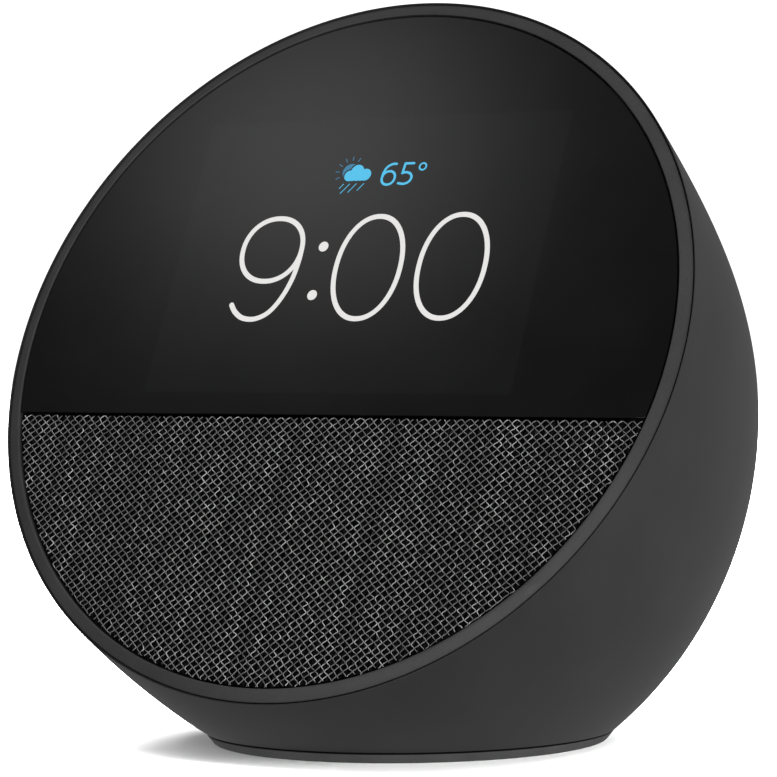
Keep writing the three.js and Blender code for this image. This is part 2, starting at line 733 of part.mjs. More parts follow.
function speakerFrame() {
  const front = SPEAKER_FRONT;
  const gasket = [
    [19.8, front],
    [SPEAKER_RADIUS, front],
    [SPEAKER_RADIUS, front + 0.8],
    [19.8, front + 0.8],
  ];
  const basket = [
    [SPEAKER_RADIUS + 0.4, front + 1.1],
    [SPEAKER_RADIUS + 0.4, front + 2.4],
    [20.2, front + 2.4],
    [14.6, front + 10.8],
    [7.4, front + 10.8],
    [7.4, front + 9.8],
    [13.9, front + 9.8],
    [19.3, front + 1.9],
    [19.3, front + 1.1],
  ];
  const surround = [
    [18.9, front + 1.7],
    [18.9, front + 1.3],
    [18.1, front + 0.5],
    [17.3, front + 0.3],
    [16.5, front + 0.5],
    [15.8, front + 1.3],
    [15.8, front + 1.7],
    [16.6, front + 1.1],
    [17.3, front + 0.8],
    [18.0, front + 1.1],
  ];
  return [
    speakerRing("speaker_gasket", gasket, rubber),
    speakerRing("speaker_basket", basket, steel),
    speakerRing("speaker_surround", surround, rubber, 24),
  ];
}

function speakerMotor() {
  const topPlate = [
    [TOP_PLATE.hole, TOP_PLATE.front],
    [MOTOR_RADIUS - EDGE_CLEARANCE, TOP_PLATE.front],
    [MOTOR_RADIUS - EDGE_CLEARANCE, TOP_PLATE.back],
    [TOP_PLATE.hole, TOP_PLATE.back],
  ];
  const magnet = [
    [MAGNET.hole, MAGNET.front],
    [MOTOR_RADIUS, MAGNET.front],
    [MOTOR_RADIUS, MAGNET.back],
    [MAGNET.hole, MAGNET.back],
  ];
  const yoke = [
    [0, YOKE.front],
    [POLE_RADIUS, YOKE.front],
    [POLE_RADIUS, YOKE.step],
    [MOTOR_RADIUS, YOKE.step],
    [MOTOR_RADIUS, YOKE.back],
    [0, YOKE.back],
  ];
  return [
    speakerRing("speaker_top_plate", topPlate, steel),
    speakerRing("speaker_magnet", magnet, ferrite),
    speakerRing("speaker_yoke", yoke, steel),
  ];
}

// The cone, its cap and its coil travel together by CONE_TRAVEL each way.
function speakerMovingParts() {
  const mouth = SPEAKER_FRONT + CONE_TRAVEL + 0.2;
  const cone = [
    [15.4, mouth],
    [15.4, mouth + 0.5],
    [COIL_OUTER, CONE_NECK],
    [COIL_INNER, CONE_NECK],
    [COIL_INNER, CONE_NECK - 0.5],
    [14.8, mouth],
  ];
  const cap = [
    [0, 11.4],
    [2.6, 11.9],
    [CAP_RADIUS, 13.0],
    [CAP_RADIUS, 13.6],
    [2.5, 12.5],
    [0, 12.0],
  ];
  const coil = [
    [COIL_INNER, CONE_NECK + GAP],
    [COIL_OUTER, CONE_NECK + GAP],
    [COIL_OUTER, COIL_BACK],
    [COIL_INNER, COIL_BACK],
  ];
  return [
    speakerRing("speaker_cone", cone, paperCone),
    speakerRing("dust_cap", cap, paperCone, 24),
    speakerRing("voice_coil", coil, copperFoil, 24),
  ];
}

// Closed box behind the speaker, following the inside of the shell.
function speakerChamber() {
  const { wall, top, back, half, floor } = CHAMBER;
  const clear = WALL + CHAMBER.clear;
  const front = CHASSIS_BACK + GAP + 0.1;
  const chamberForm = { sections: 8, around: 32 };
  let body = solid(boxBetween([-half, front, -FAR], [half, back, top]))
    .intersect(solid(bodyForm(clear, chamberForm)))
    .intersect(aboveFloor(floor));
  for (const { x, z } of CHAMBER_EARS) {
    body = body.add(solid(rod(EAR_RADIUS, front, front + EAR_THICK, x, z, SCREW_ROUND)));
  }
  const hollow = solid(boxBetween([wall - half, front - 1, -FAR], [half - wall, back - wall, top - wall]))
    .intersect(solid(bodyForm(clear + wall, chamberForm)))
    .intersect(aboveFloor(floor + wall));
  body = body.subtract(hollow);
  for (const { x, z } of CHAMBER_EARS) {
    body = body.subtract(solid(rod(PILOT, 0, 15, x, z, HOLE_ROUND)));
  }
  // Hole that the speaker's lead leaves by.
  const { radius, x, depth } = LEAD_HOLE;
  body = body.subtract(solid(post(radius, top - 4, top + 1, x, depth, HOLE_ROUND)));
  return named("speaker_chamber", body, blackPlastic);
}

// ---------------------------------------------------------------- electronics

function tube(points, radius, steps) {
  const section = new THREE.Shape();
  section.absarc(0, 0, radius, 0, 2 * Math.PI);
  const route = new THREE.CatmullRomCurve3(points.map((point) => new THREE.Vector3(...point)));
  return new THREE.ExtrudeGeometry(section, {
    steps,
    extrudePath: route,
    bevelEnabled: false,
    curveSegments: 4,
  });
}

function mainBoard() {
  const middleZ = (BOARD_LOW_Z + BOARD_HIGH_Z) / 2;
  const outline = roundedRectangle(BOARD_WIDTH, BOARD_HIGH_Z - BOARD_LOW_Z, 4, 0, middleZ);
  let body = solid(plate(outline, BOARD_FRONT, BOARD_BACK, 4));
  for (const hole of BOARD_HOLES) {
    body = body.subtract(solid(rod(PILOT, 0, 30, hole.x, hole.z, HOLE_ROUND)));
  }
  return named("main_board", body, circuitGreen);
}

// A block given by its size and its middle's x and z, with its front at a depth.
function block({ width, depth, height, x = 0, z = 0 }, front) {
  return box(width, depth, height, x, front + depth / 2, z);
}

function boardParts() {
  const seat = BOARD_BACK + GAP;
  const antenna = box(ANTENNA.width, ANTENNA.depth, ANTENNA.height, ANTENNA.x, ANTENNA.y, ANTENNA.z);
  return [
    named("processor_shield", block(SHIELD, seat), steel),
    named("heat_spreader", block(SPREADER, seat + SHIELD.depth + GAP), aluminium),
    named("wifi_module", block(WIFI, seat), steel),
    named("wifi_antenna", antenna, copperFoil),
  ];
}

function leads() {
  const speaker = [
    [14, 26, -9],
    [14, 26, -3],
    [15, 24.5, 1],
    [16, 21.5, 4.5],
    [16, 19.6, 6],
  ];
  const power = [
    [8, 45, -17],
    [9, 42, -8],
    [5, 36, 0],
    [0, 29, 2],
    [-3, 22, 3.5],
    [-3, 19.6, 4],
  ];
  return [
    named("speaker_lead", tube(speaker, 0.9, 8), rubber),
    named("power_lead", tube(power, 1.1, 14), rubber),
  ];
}

function powerJack() {
  const back = JACK_FACE_Y - JACK_LENGTH;
  const pinTip = JACK_FACE_Y - JACK_PIN_RECESS;
  const body = solid(rod(JACK_RADIUS, back, JACK_FACE_Y, 0, JACK_Z, PORT_ROUND))
    .subtract(solid(rod(JACK_BORE, back + JACK_BORE_END, JACK_FACE_Y + 1, 0, JACK_Z, 20)))
    .add(solid(rod(JACK_PIN, back + JACK_BORE_END / 2, pinTip, 0, JACK_Z, SCREW_ROUND)));
  const { width, depth, height } = JACK_BOARD;
  const board = box(width, depth, height, 0, back - GAP - depth / 2, JACK_Z);
  return [named("power_jack", body, blackPlastic), named("jack_board", board, circuitGreen)];
}

// ---------------------------------------------------------------- keys and microphones

function keyCap(key) {
  const prism = solid(keyPrism(0, -BUTTON_DEPTH, 6, key.x));
  const form = solid(bodyForm(-BUTTON_PROUD, { around: ROUND }));
  return named(`${key.name}_button`, prism.intersect(form), charcoalPlastic);
}

function keySwitch(key) {
  const low = -(KEY_BOARD_TOP - GAP);
  const half = SWITCH_SIDE / 2;
  const block = boxBetween([key.x - half, -half, low], [key.x + half, half, -SWITCH_BODY_TOP]);
  const body = solid(keyed(block));
  const plunger = post(PLUNGER_RADIUS, -SWITCH_BODY_TOP - 0.5, -SWITCH_TOP, key.x, 0, SCREW_ROUND);
  return named(`${key.name}_switch`, body.add(solid(keyed(plunger))), blackPlastic);
}

function keyBoard() {
  const top = -KEY_BOARD_TOP;
  let body = solid(
    keyed(
      boxBetween(
        [-KEY_BOARD_LENGTH / 2, -KEY_BOARD_WIDTH / 2, top - KEY_BOARD_THICK],
        [KEY_BOARD_LENGTH / 2, KEY_BOARD_WIDTH / 2, top],
      ),
    ),
  );
  for (const side of [-1, 1]) {
    const pilot = post(PILOT, top - 3, top + 1, side * KEY_SCREW_X, 0, HOLE_ROUND);
    body = body.subtract(solid(keyed(pilot)));
  }
  return named("key_board", body, circuitGreen);
}

function keyBoardScrew(side) {
  const seat = -(KEY_BOARD_TOP - GAP);
  return panScrew(post, side * KEY_SCREW_X, 0, seat, -4.2, KEY_SCREW).transform(keyFrame.elements);
}

// A microphone on the key board, and the soft boot that joins it to its hole in the shell.
function microphones() {
  const pieces = [];
  const seat = -(KEY_BOARD_TOP - GAP);
  const { width, depth, height } = MIC_SIZE;
  for (const [side, label] of [[-1, "left"], [1, "right"]]) {
    const x = side * MIC_X;
    const capsule = box(width, depth, height, x, 0, seat + height / 2);
    const sleeve = turned([
      [MIC_HOLE, -BOOT_TOP],
      [BOOT_RADIUS, -BOOT_TOP],
      [BOOT_RADIUS, seat + height + GAP],
      [MIC_HOLE, seat + height + GAP],
    ], 0, 0, SCREW_ROUND);
    const boot = sleeve.rotateX(Math.PI / 2).translate(x, 0, 0);
    pieces.push(named(`microphone_${label}`, keyed(capsule), steel));
    pieces.push(named(`microphone_boot_${label}`, keyed(boot), rubber));
  }
  return pieces;
}

// ---------------------------------------------------------------- fasteners

function screws() {
  const pieces = [];
  const add = (name, shape) => pieces.push(named(name, shape, steel));
  PILLARS.forEach(({ x, z }, i) => {
    add(`chassis_screw_${i + 1}`, panScrew(rod, x, z, CHASSIS_FRONT + 0.8, 10, CASE_SCREW));
  });
  BOARD_HOLES.forEach(({ x, z }, i) => {
    add(`board_screw_${i + 1}`, panScrew(rod, x, z, BOARD_BACK + GAP, -6, CASE_SCREW));
  });
  const earSeat = CHASSIS_BACK + EAR_THICK + 2 * GAP + 0.1;
  CHAMBER_EARS.forEach(({ x, z }, i) => {
    add(`chamber_screw_${i + 1}`, panScrew(rod, x, z, earSeat, -4.5, CASE_SCREW));
  });
  [-1, 1].forEach((side, i) => add(`key_board_screw_${i + 1}`, keyBoardScrew(side)));
  return pieces;
}

function baseScrews() {
  return BASE_SCREWS.map(({ x, y }, i) =>
    named(`base_screw_${i + 1}`, panScrew(post, x, y, BASE_SCREW_SEAT, 3.2, BASE_SCREW), steel),
  );
}

// ---------------------------------------------------------------- assembly

const face = new THREE.Group();
face.applyMatrix4(faceFrame);
face.add(
  rearShell(),
  bezelRing(),
  displayGlass(),
  glassGasket(),
  grilleFabric(),
  grillePlate(),
  ...displayStack(),
  displayFlex(),
  frontChassis(),
  ...speakerFrame(),
  ...speakerMotor(),
  ...speakerMovingParts(),
  speakerChamber(),
  mainBoard(),
  ...boardParts(),
  ...leads(),
  keyBoard(),
  ...KEYS.map(keyCap),
  ...KEYS.map(keySwitch),
  ...microphones(),
  ...screws(),
);

const display = new THREE.Group();
display.name = "smart_display";
display.add(face, basePlate(), rubberFoot(), ...powerJack(), ...baseScrews());

export default display;
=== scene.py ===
"""Round smart display: visual model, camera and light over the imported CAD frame.

Lengths in the tables below are millimetres in the face frame (x to the right, depth backwards
along the face's axis, z up the face, origin at the middle of the front circle) unless they say
metres. Blender objects are in metres in the CAD's own frame.
"""

import json
import math

import bmesh
import bpy
import numpy as np
from mathutils import Matrix, Vector


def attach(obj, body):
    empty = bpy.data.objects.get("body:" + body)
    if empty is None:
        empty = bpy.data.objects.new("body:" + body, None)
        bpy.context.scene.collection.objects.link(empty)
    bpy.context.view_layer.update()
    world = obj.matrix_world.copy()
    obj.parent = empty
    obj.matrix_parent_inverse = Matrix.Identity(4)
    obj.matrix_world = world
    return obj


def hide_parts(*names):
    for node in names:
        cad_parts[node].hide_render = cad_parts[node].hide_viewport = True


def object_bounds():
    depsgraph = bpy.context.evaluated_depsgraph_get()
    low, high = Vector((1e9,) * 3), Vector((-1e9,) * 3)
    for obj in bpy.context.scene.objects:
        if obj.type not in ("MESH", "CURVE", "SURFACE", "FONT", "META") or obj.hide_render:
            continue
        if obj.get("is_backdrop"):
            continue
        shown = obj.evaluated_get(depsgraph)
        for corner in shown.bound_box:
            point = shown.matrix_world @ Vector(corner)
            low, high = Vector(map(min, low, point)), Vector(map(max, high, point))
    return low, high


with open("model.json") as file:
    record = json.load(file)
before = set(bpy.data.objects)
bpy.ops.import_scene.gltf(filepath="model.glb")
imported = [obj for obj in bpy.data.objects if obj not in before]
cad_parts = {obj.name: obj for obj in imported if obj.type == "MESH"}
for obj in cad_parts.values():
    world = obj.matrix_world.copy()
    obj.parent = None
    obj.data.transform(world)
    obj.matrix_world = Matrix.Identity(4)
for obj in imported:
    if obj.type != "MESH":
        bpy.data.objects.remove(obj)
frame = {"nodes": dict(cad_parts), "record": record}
cad_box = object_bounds()
MM = 0.001

# ---- the CAD's dimensions

FACE_RADIUS = 56.5
LEAN = math.radians(25.15)
FACE_Y = -28.4
FACE_Z = 60.45
BODY_LENGTH = 80.9
LENGTH_POWER = 2.13
RADIUS_POWER = 2.25
DROP_SLOPE = 0.15
DROP_CURVE = 0.0021
STRETCH_LENGTH = 152.0
WALL = 2.2
RIM_RADIUS = 56.4
RIM_SLOPE = 0.5
RIM_DEPTH = 4.6
BEZEL_INNER = 54.2
BEZEL_FRONT = -0.4
LEDGE_INNER = 50.5
LEDGE_FRONT = 2.2
LEDGE_BACK = 4.0
FRONT_FIT = 53.9
GLASS_FRONT = -0.3
GLASS_BACK = 0.8
CHORD = -12.45
HALF_GAP = 0.15
FABRIC_BACK = 0.45
SHELL_FLOOR = 1.65
FOOT_TOP_INSET = 0.25
FOOT_BOTTOM_INSET = 1.35
FOOT_HEIGHT = 1.35
BASE_MIDDLE_Y = -6.5
JACK_Z = 19.0
JACK_FACE_Y = 35.872
JACK_LENGTH = 11.0
JACK_RADIUS = 5.6
JACK_BORE = 3.3
JACK_PIN = 0.85
BOSS_WALL = 2.2
BOSS_LENGTH = 5.0
PORT_RADIUS = 5.0
GAP = 0.3
KEY_PITCH = 15.0
KEY_LONG = 10.5
KEY_SHORT = 6.0
KEY_PROUD = 0.5
KEY_DEPTH = 5.8
KEY_GAP = 0.35
MIC_X = 7.5
MIC_RADIUS = 0.6

KEY_ORIGIN = np.array([0.0, 7.5125, 103.999])
KEY_NORMAL = np.array([0.0, 0.52702, 0.84985])
KEY_BACK = np.array([0.0, 0.84985, -0.52702])
KEY_RIGHT = np.array([1.0, 0.0, 0.0])

COS_LEAN = math.cos(LEAN)
SIN_LEAN = math.sin(LEAN)

# ---- frames of reference


def face_to_world(points):
    x, depth, z = np.asarray(points, float).T
    y_world = FACE_Y + depth * COS_LEAN + z * SIN_LEAN
    z_world = FACE_Z - depth * SIN_LEAN + z * COS_LEAN
    return np.c_[x, y_world, z_world]


def world_to_face(points):
    x, y, z = np.asarray(points, float).T
    y = y - FACE_Y
    z = z - FACE_Z
    return np.c_[x, y * COS_LEAN - z * SIN_LEAN, y * SIN_LEAN + z * COS_LEAN]


def key_to_world(points):
    points = np.asarray(points, float)
    axes = np.array([KEY_RIGHT, KEY_BACK, KEY_NORMAL])
    return KEY_ORIGIN + points @ axes


def section(depth, inset):
    """Half width, half height and middle of the body's section at a depth."""
    share = np.clip(depth / (BODY_LENGTH - inset), 0.0, 1.0)
    width = (FACE_RADIUS - inset) * (1 - share**LENGTH_POWER) ** (1 / RADIUS_POWER)
    height = width * (1 + (depth / STRETCH_LENGTH) ** 2)
    return width, height, -(DROP_SLOPE * depth - DROP_CURVE * depth**2)


def inside_body(world, inset=0.0):
    x, depth, z = world_to_face(world).T
    width, height, middle = section(np.maximum(depth, 0), inset)
    with np.errstate(divide="ignore", invalid="ignore"):
        radius = np.hypot(x / width, (z - middle) / height)
    return (depth >= 0) & (depth < BODY_LENGTH - inset) & (radius < 1)


def reach(starts, direction, inset=0.0, far=170.0):
    """How far rays from inside the body travel to its skin."""
    starts = np.asarray(starts, float)
    direction = np.broadcast_to(np.asarray(direction, float), starts.shape)
    near = np.zeros(len(starts))
    end = np.full(len(starts), far)
    for _ in range(44):
        middle = (near + end) / 2
        inside = inside_body(starts + direction * middle[:, None], inset)
        near = np.where(inside, middle, near)
        end = np.where(inside, end, middle)
    return near


# ---- mesh helpers


def add_object(name, mesh):
    obj = bpy.data.objects.new(name, mesh)
    bpy.context.scene.collection.objects.link(obj)
    return obj


def make_mesh(name, points_mm, faces, flat_faces=()):
    """A smooth-shaded object from world points in millimetres."""
    mesh = bpy.data.meshes.new(name)
    mesh.from_pydata([tuple(p) for p in np.asarray(points_mm) * MM], [], faces)
    made = bmesh.new()
    made.from_mesh(mesh)
    bmesh.ops.recalc_face_normals(made, faces=made.faces)
    made.to_mesh(mesh)
    made.free()
    mesh.polygons.foreach_set("use_smooth", [True] * len(mesh.polygons))
    for i in flat_faces:
        mesh.polygons[i].use_smooth = False
    return add_object(name, mesh)


def loop_faces(loops, around, first=0):
    """Quads between loops of points that follow each other."""
    faces = []
    for ring in range(loops - 1):
        low = first + ring * around
        for j in range(around):
            k = (j + 1) % around
            faces.append((low + j, low + k, low + around + k, low + around + j))
    return faces


def closed_stack(name, loops, cap_ends=True):
    """A closed form from a stack of loops with the same number of points."""
    around = len(loops[0])
    points = np.concatenate(loops)
    faces = loop_faces(len(loops), around)
    flat = ()
    if cap_ends:
        faces.append(tuple(range(around)))
        faces.append(tuple(range(len(points) - around, len(points))))
        flat = (len(faces) - 2, len(faces) - 1)
    else:
        last = len(points) - around
        faces += [(last + j, last + (j + 1) % around, (j + 1) % around, j) for j in range(around)]
    return make_mesh(name, points, faces, flat)


def turned(name, profile, place, around):
    """A ring turned from [radius, along] points; place maps (x, along, z) to the world."""
    angle = np.linspace(0, 2 * np.pi, around, endpoint=False)
    loops = []
    for radius, along in profile:
        ring = np.c_[radius * np.cos(angle), np.full(around, along), radius * np.sin(angle)]
        loops.append(place(ring))
    return closed_stack(name, loops, cap_ends=False)


def rounded(profile, corners, radius, steps=4):
    """The profile with the named corners replaced by small arcs."""
    out = []
    count = len(profile)
    for i, point in enumerate(profile):
        if i not in corners:
            out.append(point)
            continue
        here = np.array(point, float)
        before = np.array(profile[i - 1], float) - here
        after = np.array(profile[(i + 1) % count], float) - here
        start = here + before / np.linalg.norm(before) * radius
        end = here + after / np.linalg.norm(after) * radius
        for k in range(steps + 1):
            t = k / steps
            out.append(tuple((1 - t) ** 2 * start + 2 * t * (1 - t) * here + t**2 * end))
    return out


def fillet(radius, steps):
    """Offsets inwards and downwards of points round a quarter circle, from its side to its top."""
    for turn in np.linspace(0, 0.5 * np.pi, steps + 1):
        yield radius * (1 - math.cos(turn)), radius * (1 - math.sin(turn))


def raised(outline, height):
    """Points of a flat outline at one height, or each at its own."""
    return np.c_[outline, np.broadcast_to(height, len(outline))]


def boolean(obj, cutter, operation="DIFFERENCE"):
    modifier = obj.modifiers.new("cut", "BOOLEAN")
    modifier.operation = operation
    modifier.object = cutter
    modifier.solver = "MANIFOLD"
    bpy.context.view_layer.objects.active = obj
    bpy.ops.object.modifier_apply(modifier=modifier.name)
    bpy.data.objects.remove(cutter, do_unlink=True)


def smooth_by_angle(obj, degrees=28):
    mesh = obj.data
    mesh.polygons.foreach_set("use_smooth", [True] * len(mesh.polygons))
    mesh.set_sharp_from_angle(angle=math.radians(degrees))


# ---- materials


def feed(tree, socket, value):
    """Link another node's output to a socket, or set its value."""
    if isinstance(value, bpy.types.NodeSocket):
        tree.links.new(value, socket)
    else:
        socket.default_value = value


def add_node(tree, kind, **inputs):
    """A node with its inputs fed by name, with _ for a space."""
    made = tree.nodes.new(kind)
    for key, value in inputs.items():
        feed(tree, made.inputs[key.replace("_", " ")], value)
    return made


def math_node(tree, operation, a, b=0.0, clamp=False):
    made = tree.nodes.new("ShaderNodeMath")
    made.operation = operation
    made.use_clamp = clamp
    for socket, value in zip(made.inputs, (a, b)):
        feed(tree, socket, value)
    return made.outputs[0]


class Shader:
    """A principled material with short helpers for its nodes."""

    def __init__(self, name, rough=0.5, metal=0.0, specular=0.5):
        self.material = bpy.data.materials.new(name)
        self.material.use_nodes = True
        self.tree = self.material.node_tree
        self.bsdf = self.tree.nodes["Principled BSDF"]
        self.bsdf.inputs["Metallic"].default_value = metal
        self.bsdf.inputs["Roughness"].default_value = rough
        self.bsdf.inputs["Specular IOR Level"].default_value = specular
        self.coords = self.tree.nodes.new("ShaderNodeTexCoord").outputs["Object"]

    def link(self, source, target):
        self.tree.links.new(source, target)

    def node(self, kind, **inputs):
        return add_node(self.tree, kind, **inputs)

    def noise(self, size_mm, detail=3.0, rough=0.5, coords=None):
        scale = 1 / (size_mm * MM)
        place = coords or self.coords
        made = self.node("ShaderNodeTexNoise", Scale=scale, Detail=detail, Roughness=rough, Vector=place)
        return made.outputs["Fac"]

    def cells(self, size_mm, feature="F1"):
        made = self.tree.nodes.new("ShaderNodeTexVoronoi")
        made.feature = feature
        made.inputs["Scale"].default_value = 1 / (size_mm * MM)
        self.link(self.coords, made.inputs["Vector"])
        return made.outputs["Distance"]

    def math(self, operation, a, b=0.0, clamp=False):
        return math_node(self.tree, operation, a, b, clamp)

    def mix(self, factor, a, b):
        made = self.tree.nodes.new("ShaderNodeMix")
        made.data_type = "RGBA"
        for key, value in (("Factor", factor), ("A", a), ("B", b)):
            feed(self.tree, made.inputs[key], value)
        return made.outputs["Result"]

    def ramp(self, source, stops):
        made = self.tree.nodes.new("ShaderNodeValToRGB")
        elements = made.color_ramp.elements
        while len(elements) < len(stops):
            elements.new(0.5)
        for element, (place, colour) in zip(elements, stops):
            element.position = place
            element.color = (*colour, 1.0)
        self.link(source, made.inputs["Fac"])
        return made.outputs["Color"]

    def stretched(self, scale):
        return self.node("ShaderNodeMapping", Scale=scale, Vector=self.coords).outputs["Vector"]

    def colour(self, source):
        self.link(source, self.bsdf.inputs["Base Color"])

    def rough(self, source, low, high):
        made = self.node("ShaderNodeMapRange", Value=source, To_Min=low, To_Max=high)
        self.link(made.outputs["Result"], self.bsdf.inputs["Roughness"])

    def bump(self, source, depth_mm, strength=1.0, under=None):
        made = self.node("ShaderNodeBump", Height=source, Strength=strength, Distance=depth_mm * MM)
        if under is not None:
            self.link(under, made.inputs["Normal"])
        self.link(made.outputs["Normal"], self.bsdf.inputs["Normal"])
        return made.outputs["Normal"]


def shade(colour, factor):
    return tuple(channel * factor for channel in colour)


def moulded_plastic(name, colour, rough, grain_mm=0.16, grain=0.35, depth=0.006, specular=0.5):
    """Matt moulded plastic: spark-eroded grain, faint flow marks, and a painted highlight that lightens
    sharp edges.
    """
    s = Shader(name, specular=specular)
    fine = s.noise(grain_mm, detail=4.0, rough=0.65)
    broad = s.noise(14.0, detail=2.0)
    mixed = s.math("ADD", s.math("MULTIPLY", fine, 0.72), s.math("MULTIPLY", broad, 0.28))
    tone = s.ramp(mixed, [(0.3, shade(colour, 1 - grain)), (0.5, colour), (0.72, shade(colour, 1 + grain))])
    # Sharp convex edges are lightened towards a paler copy of the colour: a painted highlight along the
    # edges.
    edge = s.node("ShaderNodeNewGeometry").outputs["Pointiness"]
    edge_highlight = s.ramp(edge, [(0.53, (0, 0, 0)), (0.62, (1, 1, 1))])
    s.colour(s.mix(s.math("MULTIPLY", edge_highlight, 0.25), tone, (*shade(colour, 1.8), 1)))
    s.rough(fine, *rough)
    pits = s.cells(grain_mm * 1.6)
    coarse = s.bump(s.noise(grain_mm * 2.2, detail=2.0), depth, 0.5)
    s.bump(pits, depth, 0.6, under=coarse)
    return s.material


def glossy_black(name, window):
    """Printed black glass with a faintly lit display window behind it."""
    s = Shader(name, rough=0.035, specular=0.5)
    smear = s.noise(22.0, detail=3.0, rough=0.6)
    s.colour(s.ramp(smear, [(0.3, (0.0022,) * 3), (0.7, (0.0040,) * 3)]))
    s.rough(s.noise(9.0, detail=4.0, rough=0.6), 0.025, 0.06)
    s.bump(s.noise(30.0, detail=1.0), 0.0025, 0.25)
    origin = Matrix.Rotation(LEAN, 3, "X") @ Vector((0, FACE_Y * MM, FACE_Z * MM))
    place = s.node("ShaderNodeMapping", Rotation=(LEAN, 0, 0), Location=-origin, Vector=s.coords)
    split = s.node("ShaderNodeSeparateXYZ", Vector=place.outputs["Vector"])
    half_width, low, high, soft = window
    middle = (low + high) / 2

    def inside(value, centre, half):
        away = s.math("ABSOLUTE", s.math("SUBTRACT", value, centre * MM))
        left = s.math("SUBTRACT", half * MM, away)
        return s.math("DIVIDE", left, soft * MM, clamp=True)

    across = inside(split.outputs["X"], 0.0, half_width)
    along = inside(split.outputs["Z"], middle, (high - low) / 2)
    mask = s.math("MULTIPLY", across, along)
    glow = s.math("MULTIPLY", mask, s.math("ADD", s.math("MULTIPLY", smear, 0.3), 0.85))
    s.bsdf.inputs["Emission Color"].default_value = (0.92, 0.97, 1.0, 1.0)
    s.link(s.math("MULTIPLY", glow, 0.0022), s.bsdf.inputs["Emission Strength"])
    return s.material


def screen_light(name, colour, strength):
    """Lit part of the display: its pixel grid makes it slightly uneven."""
    s = Shader(name, rough=0.35)
    s.bsdf.inputs["Base Color"].default_value = (0.02, 0.02, 0.02, 1)
    grid = s.noise(0.18, detail=1.0)
    tint = s.ramp(grid, [(0.35, shade(colour, 0.93)), (0.65, colour)])
    s.link(tint, s.bsdf.inputs["Emission Color"])
    s.bsdf.inputs["Emission Strength"].default_value = strength
    return s.material


def thread(name, light, dark, glint, specular=0.25, sheen=0.05):
    """Melange polyester thread with fine filaments along it and a dull sheen."""
    s = Shader(name, specular=specular)
    strand = s.node("ShaderNodeAttribute")
    strand.attribute_name = "tone"
    filaments = s.noise(0.07, detail=3.0, rough=0.7)
    own = s.math("MULTIPLY", strand.outputs["Fac"], 0.55)
    tone = s.math("ADD", s.math("MULTIPLY", filaments, 0.45), own)
    s.colour(s.ramp(tone, [(0.2, dark), (0.55, light), (0.86, glint)]))
    s.rough(filaments, 0.55, 0.85)
    s.bsdf.inputs["Sheen Weight"].default_value = sheen
    s.bsdf.inputs["Sheen Roughness"].default_value = 0.4
    s.bump(filaments, 0.02, 0.8)
    return s.material


def scrim(name):
    """Under-layer of the mesh: a fine plain weave, coloured near-black as painted shade of the dark space
    seen through the net's cells.
    """
    s = Shader(name, specular=0.02)
    weave = s.node("ShaderNodeTexWave", Scale=330.0, Distortion=2.0, Detail=2.0, Vector=s.coords)
    cross = s.noise(0.35, detail=3.0)
    both = s.math("MULTIPLY", weave.outputs["Fac"], cross)
    # Near-black colour: painted shade seen through the net's cells, on top of the cloth's own dark weave.
    s.colour(s.ramp(both, [(0.05, (0.0008,) * 3), (0.35, (0.002,) * 3), (0.7, (0.006,) * 3)]))
    s.rough(cross, 0.8, 1.0)
    s.bump(both, 0.05, 0.6)
    return s.material


def rubber(name, colour):
    s = Shader(name, specular=0.35)
    grain = s.noise(0.25, detail=4.0, rough=0.7)
    dust = s.noise(6.0, detail=3.0)
    both = s.math("ADD", s.math("MULTIPLY", grain, 0.6), s.math("MULTIPLY", dust, 0.4))
    s.colour(s.ramp(both, [(0.3, shade(colour, 0.6)), (0.6, colour), (0.8, shade(colour, 1.9))]))
    s.rough(grain, 0.7, 0.92)
    s.bump(grain, 0.02, 0.5)
    return s.material


def metal(name, colour, rough=(0.25, 0.45), scale=(1, 1, 14), spots=0.0):
    """Rolled or turned metal with a brushed grain, and dull spots where it is bare steel."""
    s = Shader(name, metal=1.0)
    brushed = s.noise(0.5, detail=4.0, rough=0.65, coords=s.stretched(scale))
    stain = s.noise(5.0, detail=3.0)
    both = s.math("ADD", s.math("MULTIPLY", brushed, 0.7), s.math("MULTIPLY", stain, 0.3 + spots))
    s.colour(s.ramp(both, [(0.25, shade(colour, 0.72)), (0.55, colour), (0.85, shade(colour, 1.12))]))
    s.rough(brushed, *rough)
    s.bump(brushed, 0.004, 0.5)
    return s.material


def circuit_board(name):
    """Green solder mask over copper tracks, with tinned pads."""
    s = Shader(name, specular=0.5)
    tracks = s.cells(2.4, "DISTANCE_TO_EDGE")
    track = s.ramp(tracks, [(0.04, (1, 1, 1)), (0.09, (0, 0, 0))])
    pads = s.ramp(s.cells(3.1), [(0.08, (1, 1, 1)), (0.11, (0, 0, 0))])
    mask = s.ramp(s.noise(4.0, detail=3.0), [(0.3, (0.004, 0.045, 0.016)), (0.7, (0.008, 0.07, 0.026))])
    over = s.mix(track, mask, (0.02, 0.13, 0.045, 1))
    s.colour(s.mix(pads, over, (0.55, 0.53, 0.48, 1)))
    s.rough(s.noise(0.6), 0.3, 0.5)
    s.bump(track, 0.03, 0.6)
    return s.material


def paper(name):
    s = Shader(name, specular=0.15)
    fibre = s.noise(0.35, detail=5.0, rough=0.75, coords=s.stretched((1, 3, 1)))
    s.colour(s.ramp(fibre, [(0.3, (0.010, 0.010, 0.012)), (0.7, (0.034, 0.034, 0.038))]))
    s.rough(fibre, 0.8, 1.0)
    s.bump(fibre, 0.05, 0.8)
    return s.material


def ferrite(name):
    s = Shader(name, rough=0.6, specular=0.4)
    grains = s.cells(0.5)
    s.colour(s.ramp(grains, [(0.1, (0.022, 0.022, 0.024)), (0.7, (0.05, 0.05, 0.054))]))
    s.rough(s.noise(0.8), 0.5, 0.75)
    s.bump(grains, 0.03, 0.5)
    return s.material


